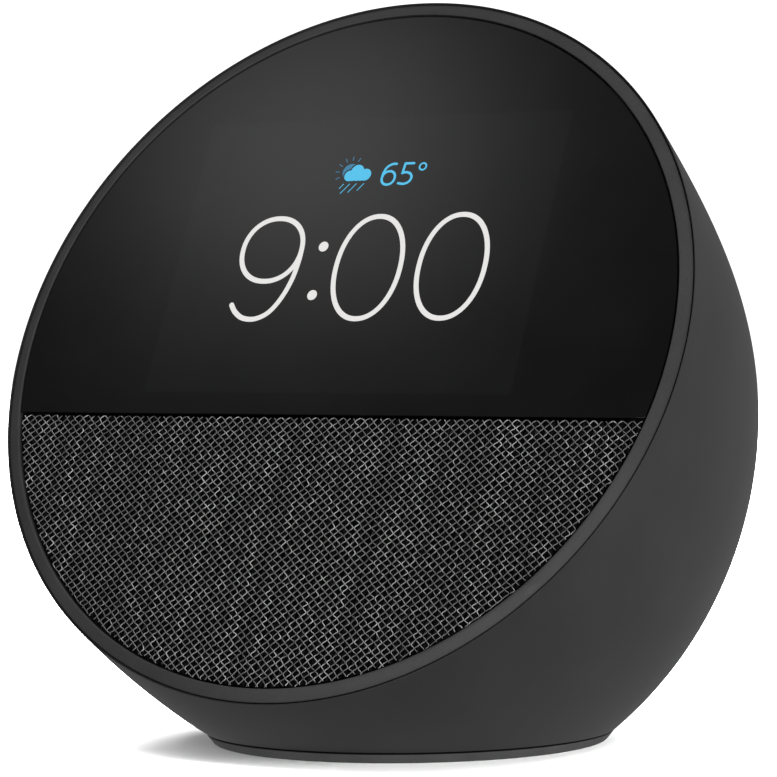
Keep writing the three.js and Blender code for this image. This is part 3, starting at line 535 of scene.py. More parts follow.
def display_film(name):
    """Dark polariser with a faint pixel grid."""
    s = Shader(name, specular=0.5)
    columns = s.node("ShaderNodeTexWave", Scale=1600.0, Vector=s.coords)
    haze = s.noise(12.0)
    both = s.math("ADD", s.math("MULTIPLY", columns.outputs["Fac"], 0.4), s.math("MULTIPLY", haze, 0.6))
    s.colour(s.ramp(both, [(0.3, (0.006, 0.007, 0.010)), (0.7, (0.020, 0.022, 0.028))]))
    s.rough(haze, 0.15, 0.3)
    s.bump(haze, 0.004, 0.3)
    return s.material


CHARCOAL = (0.0153, 0.0153, 0.0156)
RING_GREY = (0.0255, 0.0255, 0.0258)
SHELL_PLASTIC = moulded_plastic("shell_charcoal", CHARCOAL, (0.46, 0.60), specular=0.24)
RING_PLASTIC = moulded_plastic("ring_charcoal", RING_GREY, (0.34, 0.46), grain=0.45)
KEY_PLASTIC = moulded_plastic("key_charcoal", shade(CHARCOAL, 1.05), (0.36, 0.5))
INNER_PLASTIC = moulded_plastic("inner_black", (0.012, 0.012, 0.0125), (0.5, 0.7), grain_mm=0.3)
GLASS = glossy_black("black_glass", (31.2, -9.0, 36.7, 0.35))
CLOCK_WHITE = screen_light("clock_white", (1.0, 0.99, 0.975), 0.80)
WEATHER_BLUE = screen_light("weather_blue", (0.075, 0.56, 0.88), 0.95)
SUN_BLUE = screen_light("sun_blue", (0.04, 0.26, 0.47), 0.75)
THREAD = thread("mesh_thread", (0.112,) * 3, (0.028,) * 3, (0.50,) * 3)
LOOP_THREAD = thread("loop_thread", (0.008,) * 3, (0.002,) * 3, (0.024,) * 3, 0.03, 0.0)
SCRIM_WITH_PAINTED_SHADE = scrim("mesh_scrim_painted_shade")
# The foot is charcoal rubber; its colour is lifted well above the shell's as painted light, making up for
# the little light that reaches it under the body.
FOOT_RUBBER_PAINTED_LIGHT = rubber("foot_rubber_painted_light", (0.04, 0.04, 0.0405))
SOFT_RUBBER = rubber("soft_rubber", (0.012, 0.012, 0.012))
STEEL = metal("pressed_steel", (0.56, 0.57, 0.58))
SCREW_STEEL = metal("screw_steel", (0.30, 0.30, 0.31), rough=(0.3, 0.5), scale=(6, 6, 1), spots=0.1)
ALUMINIUM = metal("cast_aluminium", (0.77, 0.78, 0.79), rough=(0.32, 0.5), scale=(1, 8, 1))
COPPER = metal("copper", (0.72, 0.34, 0.18), rough=(0.25, 0.4), scale=(10, 1, 1))
BOARD = circuit_board("green_board")
PAPER = paper("pressed_paper")
FERRITE = ferrite("ferrite")
FILM = display_film("display_film")
PIN_METAL = metal("socket_pin", (0.75, 0.74, 0.70), rough=(0.15, 0.3))

SLOT_MATERIALS = {
    "shell_plastic": SHELL_PLASTIC,
    "ring_plastic": RING_PLASTIC,
    "black_glass": GLASS,
    "grille_fabric": SCRIM_WITH_PAINTED_SHADE,
    "inner_plastic": INNER_PLASTIC,
    "rubber": SOFT_RUBBER,
    "screen_light": FILM,
    "steel": STEEL,
    "aluminium": ALUMINIUM,
    "copper": COPPER,
    "paper": PAPER,
    "ferrite": FERRITE,
    "circuit_board": BOARD,
}


def dress_cad_nodes():
    for entry in frame["record"]["subparts"]:
        obj = frame["nodes"][entry["node"]]
        chosen = SCREW_STEEL if "screw" in entry["node"] else SLOT_MATERIALS[entry["material_slot"]]
        obj.data.materials.clear()
        obj.data.materials.append(chosen)


def finished(obj, material, body, slot, *nodes):
    obj.data.materials.clear()
    obj.data.materials.append(material)
    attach(obj, body)
    if nodes:
        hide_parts(*nodes)
    return obj


# ---- shell


def shell_skin(around=320, outer=132, inner=22):
    """Closed wall of the body, from the back over the rim to its inside."""
    angle = np.linspace(0, 2 * np.pi, around, endpoint=False)
    cos, sin = np.cos(angle), np.sin(angle)

    def body_loop(depth, inset):
        width, height, middle = section(depth, inset)
        return np.c_[width * cos, np.full(around, depth), height * sin + middle]

    def round_loop(radius, depth):
        return np.c_[radius * cos, np.full(around, depth), radius * sin]

    def depths(count, inset, front):
        share = np.sin(0.5 * np.pi * np.arange(1, count) / count) ** (2 / LENGTH_POWER)
        found = share * (BODY_LENGTH - inset)
        return found[found > front]

    loops = [body_loop(d, 0.0) for d in depths(outer, 0.0, 0.35)[::-1]]
    loops += [body_loop(0.2, 0.0), body_loop(0.06, 0.0), round_loop(RIM_RADIUS, 0.0)]
    for depth in (0.15, 2.2, RIM_DEPTH):
        loops.append(round_loop(RIM_RADIUS - RIM_SLOPE * depth, depth))
    loops += [body_loop(d, WALL) for d in depths(inner, WALL, RIM_DEPTH + 0.5)]
    count = len(loops)
    points = np.concatenate(loops + [[[0, BODY_LENGTH, section(BODY_LENGTH, 0)[2]]]])
    back = BODY_LENGTH - WALL
    points = np.concatenate([points, [[0, back, section(back, WALL)[2]]]])
    faces = loop_faces(count, around)
    poles = (count * around, count * around + 1)
    last = (count - 1) * around
    for j in range(around):
        k = (j + 1) % around
        faces.append((poles[0], k, j))
        faces.append((poles[1], last + j, last + k))
    return make_mesh("shell", face_to_world(points), faces)


def stadium(long, short, steps=20):
    """Outline of a bar with round ends, and the same number of points at any size."""
    half = short / 2
    reach_x = (KEY_LONG - KEY_SHORT) / 2 if long is None else (long - short) / 2
    right = np.linspace(-np.pi / 2, np.pi / 2, steps)
    left = np.linspace(np.pi / 2, 1.5 * np.pi, steps)
    x = np.r_[reach_x + half * np.cos(right), -reach_x + half * np.cos(left)]
    y = np.r_[half * np.sin(right), half * np.sin(left)]
    return np.c_[x, y]


def key_skin_height(outline, inset=0.0):
    """Height of the skin above points laid out in the keys' frame."""
    low = -14.0
    starts = key_to_world(raised(outline, low))
    return low + reach(starts, KEY_NORMAL, inset, 40.0)


def key_outline(grow, x):
    outline = stadium(None, KEY_SHORT + 2 * grow)
    return outline + [x, 0.0]


def key_cutter(x, edge=0.28):
    loops = [raised(key_outline(KEY_GAP, x), -12.0)]
    for outwards, down in fillet(edge, 5):
        outline = key_outline(KEY_GAP + outwards, x)
        loops.append(raised(outline, key_skin_height(outline) - down))
    loops.append(raised(key_outline(KEY_GAP + edge + 0.02, x), 6.0))
    return closed_stack("cutter", [key_to_world(loop) for loop in loops])


def port_skin(outline):
    """How far back the skin lies behind points given in x and z."""
    starts = np.c_[outline[:, 0], np.full(len(outline), BASE_MIDDLE_Y), outline[:, 1]]
    return BASE_MIDDLE_Y + reach(starts, (0, 1, 0))


def ring_outline(radius, x=0.0, z=0.0, around=96):
    angle = np.linspace(0, 2 * np.pi, around, endpoint=False)
    return np.c_[x + radius * np.cos(angle), z + radius * np.sin(angle)]


def along_y(outline, y):
    return np.c_[outline[:, 0], np.broadcast_to(y, len(outline)), outline[:, 1]]


def port_cutter(edge=0.45):
    loops = [along_y(ring_outline(PORT_RADIUS, z=JACK_Z), JACK_FACE_Y - 1)]
    for outwards, down in fillet(edge, 6):
        outline = ring_outline(PORT_RADIUS + outwards, z=JACK_Z)
        loops.append(along_y(outline, port_skin(outline) - down))
    wide = ring_outline(PORT_RADIUS + edge + 0.02, z=JACK_Z)
    loops.append(along_y(wide, 62.0))
    return closed_stack("cutter", loops)


def box_cutter(low, high):
    ends = list(zip(low, high))
    corners = [(x, y, z) for x in ends[0] for y in ends[1] for z in ends[2]]
    faces = [(0, 1, 3, 2), (4, 6, 7, 5), (0, 4, 5, 1), (2, 3, 7, 6), (0, 2, 6, 4), (1, 5, 7, 3)]
    return make_mesh("cutter", corners, faces)


def rear_shell():
    shell = shell_skin()
    boss = ring_outline(JACK_RADIUS + BOSS_WALL, z=JACK_Z)
    sleeve = [along_y(boss, JACK_FACE_Y - BOSS_LENGTH), along_y(boss, port_skin(boss) - WALL / 2)]
    boolean(shell, closed_stack("boss", sleeve), "UNION")
    seat = ring_outline(JACK_RADIUS + GAP, z=JACK_Z)
    bed = [along_y(seat, JACK_FACE_Y - 30), along_y(seat, JACK_FACE_Y + GAP)]
    boolean(shell, closed_stack("cutter", bed))
    boolean(shell, port_cutter())
    for x in (-KEY_PITCH, 0.0, KEY_PITCH):
        boolean(shell, key_cutter(x))
    for side in (-1, 1):
        hole = ring_outline(MIC_RADIUS, x=side * MIC_X, around=28)
        loops = [key_to_world(raised(hole, z)) for z in (-8.0, 4.0)]
        boolean(shell, closed_stack("cutter", loops))
    boolean(shell, box_cutter((-90, -90, -60), (90, 90, SHELL_FLOOR)))
    smooth_by_angle(shell)
    finished(shell, SHELL_PLASTIC, "display_body", "shell_plastic", "rear_shell")


# ---- ring and glass

SEAM = 0.11  # between the ring and the shell's bevel
RING_CROWN = 0.62  # how far the ring's face falls towards its outer edge


def bezel_ring():
    def bevel(depth):
        return RIM_RADIUS - SEAM - depth * RIM_SLOPE

    profile = [(LEDGE_INNER, LEDGE_BACK), (LEDGE_INNER, LEDGE_FRONT), (BEZEL_INNER, LEDGE_FRONT)]
    lip = 0.14
    profile += [(BEZEL_INNER + outwards, BEZEL_FRONT + down) for outwards, down in fillet(lip, 5)]
    crown_start = BEZEL_INNER + lip
    edge = 0.16
    crown_end = bevel(BEZEL_FRONT + RING_CROWN) - edge
    for k in range(1, 9):
        share = k / 8
        radius = crown_start + (crown_end - crown_start) * share
        profile.append((radius, BEZEL_FRONT + (RING_CROWN - edge * 0.5) * share**1.25))
    end = profile[-1]
    corner = (bevel(end[1] + 0.05), end[1] + 0.05)
    down = (bevel(end[1] + 0.35), end[1] + 0.35)
    for k in range(1, 6):
        t = k / 5
        radius = (1 - t) ** 2 * end[0] + 2 * t * (1 - t) * corner[0] + t**2 * down[0]
        depth = (1 - t) ** 2 * end[1] + 2 * t * (1 - t) * corner[1] + t**2 * down[1]
        profile.append((radius, depth))
    profile.append((bevel(LEDGE_BACK), LEDGE_BACK))
    ring = turned("bezel", profile, face_to_world, around=360)
    smooth_by_angle(ring, 35)
    finished(ring, RING_PLASTIC, "display_body", "ring_plastic", "bezel_ring")


def segment_outline(inset, above, arc_steps=220, chord_steps=60):
    """Outline of the part of the front disc above or below the chord, inset from its edge."""
    radius = FRONT_FIT - inset
    chord = CHORD + (HALF_GAP + inset if above else -HALF_GAP - inset)
    angle = math.asin(chord / radius)
    if above:
        turn = np.linspace(angle, math.pi - angle, arc_steps)
    else:
        turn = np.linspace(math.pi - angle, 2 * math.pi + angle, arc_steps)
    arc = np.c_[radius * np.cos(turn), radius * np.sin(turn)]
    along = np.linspace(arc[-1, 0], arc[0, 0], chord_steps + 2)[1:-1]
    return np.concatenate([arc, np.c_[along, np.full(chord_steps, chord)]])


def at_depth(outline, depth):
    return face_to_world(np.c_[outline[:, 0], np.broadcast_to(depth, len(outline)), outline[:, 1]])


def display_glass(edge=0.1):
    loops = [at_depth(segment_outline(0.0, True), GLASS_BACK)]
    for inset, down in fillet(edge, 5):
        loops.append(at_depth(segment_outline(inset, True), GLASS_FRONT + down))
    glass = closed_stack("glass", loops)
    finished(glass, GLASS, "display_body", "black_glass", "display_glass")


# ---- what the display shows

LIT_FRONT = GLASS_FRONT - 0.012
LIT_BACK = GLASS_FRONT - 0.002


def catmull_rom(knots, steps=14):
    """Smooth curve through the knots."""
    knots = np.asarray(knots, float)
    count = len(knots)
    points = []
    for i in range(count - 1):
        p = [knots[min(max(i + k, 0), count - 1)] for k in (-1, 0, 1, 2)]
        square = 2 * p[0] - 5 * p[1] + 4 * p[2] - p[3]
        cube = 3 * p[1] - p[0] - 3 * p[2] + p[3]
        for t in np.linspace(0, 1, steps, endpoint=False):
            points.append(0.5 * (2 * p[1] + (p[2] - p[0]) * t + square * t**2 + cube * t**3))
    points.append(knots[-1])
    return np.array(points)


def superellipse(cx, cz, half_width, half_height, power, steps=96):
    turn = np.radians(np.linspace(0, 360, steps, endpoint=False))
    cos, sin = np.cos(turn), np.sin(turn)
    x = np.sign(cos) * np.abs(cos) ** (2 / power)
    z = np.sign(sin) * np.abs(sin) ** (2 / power)
    return np.c_[cx + half_width * x, cz + half_height * z]


def beside(ahead, width):
    """Half a pen's width to the left of each direction."""
    ahead = ahead / np.linalg.norm(ahead, axis=1)[:, None]
    return np.c_[-ahead[:, 1], ahead[:, 0]] * width / 2


class Sign:
    """Thin lit slabs joined into one piece."""

    def __init__(self):
        self.points = []
        self.faces = []

    def slab(self, quads, outline_points):
        """Front faces over 2-D points, with a back copy and side walls."""
        base = len(self.points)
        count = len(outline_points)
        for depth in (LIT_FRONT, LIT_BACK):
            self.points += [(x, depth, z) for x, z in outline_points]
        edges = {}
        for face in quads:
            for a, b in zip(face, face[1:] + face[:1]):
                edges[(a, b)] = edges.get((a, b), 0) + 1
            self.faces.append(tuple(base + i for i in face))
            self.faces.append(tuple(base + count + i for i in reversed(face)))
        for a, b in edges:
            if (b, a) not in edges:
                self.faces.append((base + a, base + count + a, base + count + b, base + b))

    def fill(self, outline):
        self.slab([tuple(range(len(outline)))], outline)

    def pen(self, path, width):
        """An open stroke with round ends."""
        path = np.asarray(path, float)
        ahead = np.gradient(path, axis=0)
        side = beside(ahead, width)
        count = len(path)
        points = np.concatenate([path + side, path - side])
        quads = [(i, i + 1, count + i + 1, count + i) for i in range(count - 1)]
        for end, direction, a, b in (
            (path[-1], ahead[-1], count - 1, 2 * count - 1),
            (path[0], -ahead[0], count, 0),
        ):
            base = math.atan2(direction[1], direction[0])
            turn = base + np.linspace(np.pi / 2, -np.pi / 2, 14)[1:-1]
            cap = end + np.c_[np.cos(turn), np.sin(turn)] * width / 2
            first = len(points)
            points = np.concatenate([points, cap])
            quads.append((a, *range(first, first + len(cap)), b))
        self.slab(quads, points)

    def hoop(self, path, width):
        """A closed stroke."""
        side = beside(np.roll(path, -1, 0) - np.roll(path, 1, 0), width)
        count = len(path)
        quads = [(i, (i + 1) % count, count + (i + 1) % count, count + i) for i in range(count)]
        self.slab(quads, np.concatenate([path + side, path - side]))

    def build(self, name, material):
        sign = make_mesh(name, face_to_world(self.points), self.faces)
        sign.data.polygons.foreach_set("use_smooth", [False] * len(sign.data.polygons))
        finished(sign, material, "display_body", "screen_light")


DIGIT_PEN = 0.81
TEXT_PEN = 0.39
DEGREE_PEN = 0.27
RAIN_PEN = 0.12
RAY_PEN = 0.13
SUN_RADIUS = 1.36


def clock_digits():
    sign = Sign()
    for middle in (2.75, 16.8):
        sign.hoop(superellipse(middle, 11.45, 5.48, 8.38, 2.12), DIGIT_PEN)
    for x, z in ((-5.75, 15.0), (-5.67, 7.0)):
        sign.fill(superellipse(x, z, 0.82, 0.82, 2.0, steps=32))
    sign.hoop(superellipse(-14.62, 14.62, 5.16, 5.24, 2.12), DIGIT_PEN)
    tail = [(-9.46, 14.9), (-9.46, 12.6), (-9.86, 9.6), (-10.9, 6.6), (-12.5, 4.25), (-14.6, 3.18)]
    tail += [(-16.8, 3.3), (-18.4, 4.3), (-19.35, 5.5)]
    sign.pen(catmull_rom(tail), DIGIT_PEN)
    sign.build("clock_digits", CLOCK_WHITE)


def cloud_outline(cx, cz, size):
    """A flat-bottomed cloud: three round lobes, with smaller ones that fill its foot."""
    lobes = [(-1.35, 0.0, 0.92), (-0.15, 0.75, 1.12), (1.38, 0.12, 1.02)]
    lobes += [(x, 0.0, 0.9) for x in (0.0, 0.7, -0.7)]
    turn = np.radians(np.linspace(-90, 270, 121)[:-1])
    outline = []
    for angle in turn:
        direction = np.array([math.cos(angle), math.sin(angle)])
        far = 0.0
        for x, z, radius in lobes:
            along = x * direction[0] + (z - 0.1) * direction[1]
            across = x * direction[1] - (z - 0.1) * direction[0]
            if abs(across) < radius:
                far = max(far, along + math.sqrt(radius**2 - across**2))
        point = direction * far + [0, 0.1]
        outline.append((cx + size * point[0], cz + size * max(point[1], -0.92)))
    return np.array(outline)


def clear_of(outline, start, way, margin, most):
    """How far out along a ray a shape begins that keeps a margin from an outline."""
    for far in np.linspace(0.0, most - 0.02, 60):
        point = start + far * way
        gaps = np.linalg.norm(outline - point, axis=1)
        x, z = outline.T
        x1, z1 = np.roll(x, -1), np.roll(z, -1)
        with np.errstate(divide="ignore", invalid="ignore"):
            cross = (z > point[1]) != (z1 > point[1])
            hit = point[0] < (x1 - x) * (point[1] - z) / (z1 - z) + x
        if np.count_nonzero(cross & hit) % 2 == 0 and gaps.min() > margin:
            return far
    return most - 0.02


def weather_signs():
    middle, low = -2.92, 26.8
    blue = Sign()
    blue.fill(cloud_outline(middle, low, 0.98))
    for x, fall in ((-4.95, 0.72), (-3.9, 1.55), (-2.75, 1.4), (-1.45, 1.1)):
        path = np.linspace((x, 25.42), (x - 0.8 * fall, 25.42 - fall), 4)
        blue.pen(path, RAIN_PEN)
    blue.hoop(superellipse(2.56, 26.25, 1.1, 1.12, 2.1, steps=64), TEXT_PEN)
    six_stem = [(1.46, 26.3), (1.52, 27.1), (1.95, 28.05), (2.75, 28.55), (3.45, 28.58)]
    blue.pen(catmull_rom(six_stem), TEXT_PEN)
    five_bowl = [(4.78, 27.0), (5.45, 27.12), (6.2, 26.85), (6.52, 26.2)]
    five_bowl += [(6.2, 25.5), (5.4, 25.18), (4.45, 25.32)]
    blue.pen(catmull_rom(five_bowl), TEXT_PEN)
    blue.pen(np.linspace((4.82, 27.0), (4.95, 28.58), 5), TEXT_PEN)
    blue.pen(np.linspace((4.95, 28.6), (6.42, 28.6), 5), TEXT_PEN)
    blue.hoop(superellipse(8.05, 28.0, 0.56, 0.56, 2.0, steps=40), DEGREE_PEN)
    blue.build("weather_signs", WEATHER_BLUE)
    sun = Sign()
    middle_sun = np.array([-4.25, 27.45])
    cloud = cloud_outline(middle, low, 0.98)
    turn = np.radians(np.linspace(58, 228, 36))
    rays = np.c_[np.cos(turn), np.sin(turn)]
    inner = [clear_of(cloud, middle_sun, ray, 0.24, SUN_RADIUS) for ray in rays]
    count = len(rays)
    quads = [(i, i + 1, count + 1 + i, count + i) for i in range(count - 1)]
    core = middle_sun + SUN_RADIUS * rays
    sun.slab(quads, np.concatenate([core, middle_sun + np.array(inner)[:, None] * rays]))
    for angle in range(62, 222, 29):
        way = np.array([math.cos(math.radians(angle)), math.sin(math.radians(angle))])
        sun.pen(np.linspace(middle_sun + 1.95 * way, middle_sun + 2.55 * way, 4), RAY_PEN)
    sun.build("sun_sign", SUN_BLUE)


# ---- grille cloth

CELL_WIDTH = 1.49  # diamond net of the warp-knitted mesh
CELL_HEIGHT = 1.30
THREAD_RADIUS = 0.068
TUCK = 0.35  # width of the edge where the cloth turns back round its plate
TUCK_DEPTH = 0.22
CLOTH_DEPTH = 0.02
NET_TOP = CHORD - HALF_GAP - 0.02
KNOT_GAP = 0.05  # between the middles of two threads and their knot


def edge_distance(x, z):
    radius = FRONT_FIT - np.hypot(x, z)
    return np.minimum(radius, CHORD - HALF_GAP - z)


def tuck_depth(x, z):
    """How far the cloth has turned back near its edge."""
    share = np.clip(edge_distance(x, z) / TUCK, 0.0, 1.0)
    return TUCK_DEPTH * (1 - np.sqrt(np.clip(1 - (1 - share) ** 2, 0, 1)))


def grille_cloth():
    insets = [0.0, 0.0, 0.06, 0.18, 0.36, 0.6, 0.9, 2.0, 4.0]
    loops = []
    for i, inset in enumerate(insets):
        outline = segment_outline(inset, False)
        depth = FABRIC_BACK if i == 0 else CLOTH_DEPTH + tuck_depth(outline[:, 0], outline[:, 1])
        loops.append(at_depth(outline, depth))
    cloth = closed_stack("grille_cloth", loops)
    return finished(cloth, SCRIM_WITH_PAINTED_SHADE, "display_body", "grille_fabric", "grille_fabric")


def tubes(name, paths, tones, radius, sides=5):
    """Many thin threads in one mesh, each with its own tone."""
    points, faces, tone_values = [], [], []
    base = 0
    turn = 2 * np.pi * (np.arange(sides) + 0.5) / sides
    for path, tone in zip(paths, tones):
        count = len(path)
        ahead = np.gradient(path, axis=0)
        ahead /= np.linalg.norm(ahead, axis=1)[:, None]
        side = np.cross(ahead, [0.0, 1.0, 0.0])
        side /= np.linalg.norm(side, axis=1)[:, None]
        lift = np.cross(side, ahead)
        rings = (
            path[:, None, :]
            + radius * np.cos(turn)[None, :, None] * side[:, None, :]
            + radius * np.sin(turn)[None, :, None] * lift[:, None, :]
        )
        points.append(rings.reshape(-1, 3))
        faces += loop_faces(count, sides, first=base)
        faces.append(tuple(base + j for j in range(sides)))
        faces.append(tuple(base + (count - 1) * sides + j for j in reversed(range(sides))))
        tone_values.append(np.repeat(tone, sides))
        base += count * sides
    mesh = bpy.data.meshes.new(name)
    mesh.from_pydata([tuple(p) for p in face_to_world(np.concatenate(points)) * MM], [], faces)
    mesh.polygons.foreach_set("use_smooth", [True] * len(mesh.polygons))
    values = np.concatenate(tone_values)
    layer = mesh.attributes.new("tone", "FLOAT", "POINT")
    layer.data.foreach_set("value", values.astype(np.float32))
    return add_object(name, mesh)


def net_threads():
    """Zigzag threads that hook round each other where their corners meet."""
    rng = np.random.default_rng(7)
    columns = int(2 * FRONT_FIT / (CELL_WIDTH / 2)) + 2
    rows = int((FRONT_FIT + CHORD) / (CELL_HEIGHT / 2)) + 2
    jitter = rng.normal(0, 0.055, (columns + 2, rows + 1, 2))
    tone_noise = rng.random((columns + 2, rows + 1))
    sub = 3
    paths, tones = [], []
    for t in range(columns):
        line = []
        for j in range(rows):
            leans = 1 if (t + j) % 2 == 0 else -1
            knot = t if leans > 0 else t - 1
            x = -FRONT_FIT + t * CELL_WIDTH / 2 + leans * (CELL_WIDTH / 4 - KNOT_GAP)
            z = NET_TOP - j * CELL_HEIGHT / 2
            dx, dz = jitter[knot % columns, j]
            over = 0.05 if (t % 2 == 0) else -0.03
            line.append((x + dx, -over, z + dz))
        line = np.array(line)
        path = catmull_rom(line, steps=sub)
        keep = edge_distance(path[:, 0], path[:, 2]) > 0.0
        for run in np.split(np.arange(len(path)), np.flatnonzero(np.diff(keep.astype(int))) + 1):
            if len(run) < 3 or not keep[run[0]]:
                continue
            piece = path[run].copy()
            piece[:, 1] += CLOTH_DEPTH - 0.09 + tuck_depth(piece[:, 0], piece[:, 2])
            row = np.clip((run / sub).round().astype(int), 0, rows - 1)
            paths.append(piece)
            own = 0.5 * (tone_noise[t, row] - 0.5) + 0.25 * (tone_noise[t, 0] - 0.5)
            tones.append(np.clip(0.5 + own, 0, 1))
    return tubes("grille_net", paths, tones, THREAD_RADIUS)


def loop_threads():
    """Short dark strand inside each cell of the net."""
    rng = np.random.default_rng(11)
    columns = int(2 * FRONT_FIT / CELL_WIDTH) + 2
    rows = int((FRONT_FIT + CHORD) / (CELL_HEIGHT / 2)) + 2
    paths, tones = [], []
    for j in range(rows):
        for i in range(columns):
            x = -FRONT_FIT + (i + 0.5 * (j % 2)) * CELL_WIDTH + rng.normal(0, 0.06)
            z = NET_TOP - j * CELL_HEIGHT / 2
            if edge_distance(x, z) < 0.75:
                continue
            tilt = rng.normal(0.08, 0.08)
            half = 0.42
            line = np.array([(x - tilt, 0.0, z - half), (x, -0.04, z), (x + tilt, 0.0, z + half)])
            line[:, 1] += CLOTH_DEPTH - 0.02
            paths.append(line)
            tones.append(np.full(3, rng.random()))
    return tubes("grille_loops", paths, tones, 0.075, sides=4)


def grille():
    cloth = grille_cloth()
    net = finished(net_threads(), THREAD, "display_body", "grille_fabric")
    loops = finished(loop_threads(), LOOP_THREAD, "display_body", "grille_fabric")


# ---- foot, keys and socket


def level_outline(shrink, around=240):
    bearing = np.linspace(0, 2 * np.pi, around, endpoint=False)
    directions = np.c_[np.cos(bearing), np.sin(bearing), np.zeros(around)]
    start = np.broadcast_to([0.0, BASE_MIDDLE_Y, SHELL_FLOOR], (around, 3))
    far = reach(start, directions) - shrink
    return (start + directions * far[:, None])[:, :2]


def rubber_foot(edge=0.18):
    """A soft foot that starts flush with the shell and narrows to the table."""
    slope = (FOOT_BOTTOM_INSET - FOOT_TOP_INSET) / FOOT_HEIGHT
    loops = []
    for height, inwards in fillet(edge, 4):
        loops.append(raised(level_outline(FOOT_BOTTOM_INSET - slope * height + inwards), height))
    for height, extra in ((FOOT_HEIGHT - 0.12, 0.0), (FOOT_HEIGHT - 0.03, 0.04), (FOOT_HEIGHT, 0.14)):
        loops.append(raised(level_outline(FOOT_BOTTOM_INSET - slope * height + extra), height))
    foot = closed_stack("foot", loops)
    finished(foot, FOOT_RUBBER_PAINTED_LIGHT, "display_body", "rubber", "rubber_foot")


def key_cap(kind, x, symbol):
    """A key that follows the skin, with a rounded edge and a shallow symbol."""
    edge = 0.45
    loops = [raised(key_outline(0.0, x), -KEY_DEPTH)]
    flat = [(shrink, 0.0) for shrink in (0.9, 1.5, 2.1, 2.6, 2.9)]
    for shrink, down in (*fillet(edge, 6), *flat):
        outline = key_outline(-shrink, x)
        loops.append(raised(outline, key_skin_height(outline, -KEY_PROUD) - down))
    cap = closed_stack(f"key_top_{kind}", [key_to_world(loop) for loop in loops])
    symbol_depth = 0.18
    for outline in symbol:
        placed = np.asarray(outline) + [x, 0.0]
        height = key_skin_height(placed, -KEY_PROUD)
        stack = [key_to_world(raised(placed, level)) for level in (height - symbol_depth, height + 1.0)]
        boolean(cap, closed_stack("cutter", stack))
    smooth_by_angle(cap, 32)
    finished(cap, KEY_PLASTIC, f"{kind}_key", "shell_plastic", f"{kind}_button")


def keys():
    bar = stadium(2.4, 0.5, 8)
    key_cap("volume_down", -KEY_PITCH, [bar])
    key_cap("action", 0.0, [ring_outline(0.55, around=36)])
    key_cap("volume_up", KEY_PITCH, [bar, bar[:, ::-1]])


def socket():
    """Round power socket: a turned case with a deep bore, and its centre pin."""
    back = JACK_FACE_Y - JACK_LENGTH

    def place(ring):
        return ring + [0.0, 0.0, JACK_Z]

    case = [
        (0.02, back),
        (JACK_RADIUS, back),
        (JACK_RADIUS, JACK_FACE_Y),
        (JACK_BORE, JACK_FACE_Y),
        (JACK_BORE, back + 2),
        (0.02, back + 2),
    ]
    body = turned("socket_case", rounded(case, (2, 3), 0.4), place, around=96)
    smooth_by_angle(body, 35)
    finished(body, INNER_PLASTIC, "display_body", "inner_plastic", "power_jack")
    top = JACK_FACE_Y - 1.5
    pin = [(0.02, back + 1), (JACK_PIN, back + 1), (JACK_PIN, top - 0.3)]
    pin += [(JACK_PIN - 0.3, top), (0.02, top)]
    pin_piece = turned("socket_pin_metal", pin, place, around=40)
    smooth_by_angle(pin_piece, 35)
    finished(pin_piece, PIN_METAL, "display_body", "steel")


# ---- stage, light and camera


def stage_plane(name, centre, across, up, half, material):
    centre, across, up = Vector(centre), Vector(across), Vector(up)
    mesh = bpy.data.meshes.new(name)
    corners = [(-half, -half, 0), (half, -half, 0), (half, half, 0), (-half, half, 0)]
    mesh.from_pydata(corners, [], [(0, 1, 2, 3)])
    obj = add_object(name, mesh)
    normal = across.cross(up)
    turn = Matrix((across, up, normal)).transposed()
    obj.matrix_world = Matrix.Translation(centre) @ turn.to_4x4()
    mesh.materials.append(material)
    obj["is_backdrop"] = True
    return obj


def floor():
    s = Shader("floor_white", rough=0.9, specular=0.0)
    s.colour(s.ramp(s.noise(400.0), [(0.3, (0.90,) * 3), (0.7, (0.92,) * 3)]))
    plane = stage_plane("floor", (0, 0, 0), (1, 0, 0), (0, 1, 0), 6.0, s.material)
    plane.visible_glossy = False
    plane.visible_diffuse = False


GLOW_MIDDLE = (0.0824, 0.0666)  # of the soft glow on its card
GLOW_SPREAD = (0.0531, 0.0624)
GLOW_TURN = 0.6621
GLOW_STRENGTH = 1.0084
GLOW_REST = 0.055  # light of the card away from its glow


def glow_card():
    """Card up and to the left whose soft glow lies on the glass."""
    material = bpy.data.materials.new("glow_card")
    material.use_nodes = True
    tree = material.node_tree
    tree.nodes.clear()
    coords = add_node(tree, "ShaderNodeTexCoord").outputs["Object"]
    place = tree.nodes.new("ShaderNodeMapping")
    place.vector_type = "TEXTURE"
    place.inputs["Location"].default_value = (*GLOW_MIDDLE, 0)
    place.inputs["Rotation"].default_value = (0, 0, GLOW_TURN)
    place.inputs["Scale"].default_value = (*GLOW_SPREAD, 1)
    tree.links.new(coords, place.inputs["Vector"])
    length = tree.nodes.new("ShaderNodeVectorMath")
    length.operation = "LENGTH"
    tree.links.new(place.outputs["Vector"], length.inputs[0])
    glow = length.outputs["Value"]
    bell = (("POWER", 2.0), ("MULTIPLY", -0.5), ("EXPONENT", 0.0))
    for operation, value in (*bell, ("MULTIPLY", GLOW_STRENGTH), ("ADD", GLOW_REST)):
        glow = math_node(tree, operation, glow, value)
    emit = add_node(tree, "ShaderNodeEmission", Strength=glow)
    add_node(tree, "ShaderNodeOutputMaterial", Surface=emit.outputs["Emission"])
    centre = (-0.49219, -0.58889, 0.72684)
    across = (-0.75125, 0.66002, 0.0)
    up = (0.43975, 0.50052, 0.74572)
    card = stage_plane("glow_card", centre, across, up, 0.45, material)
    card.visible_camera = False
    card.visible_diffuse = False
    card.visible_shadow = False


DOME = 1.25  # soft light from all round on matt surfaces


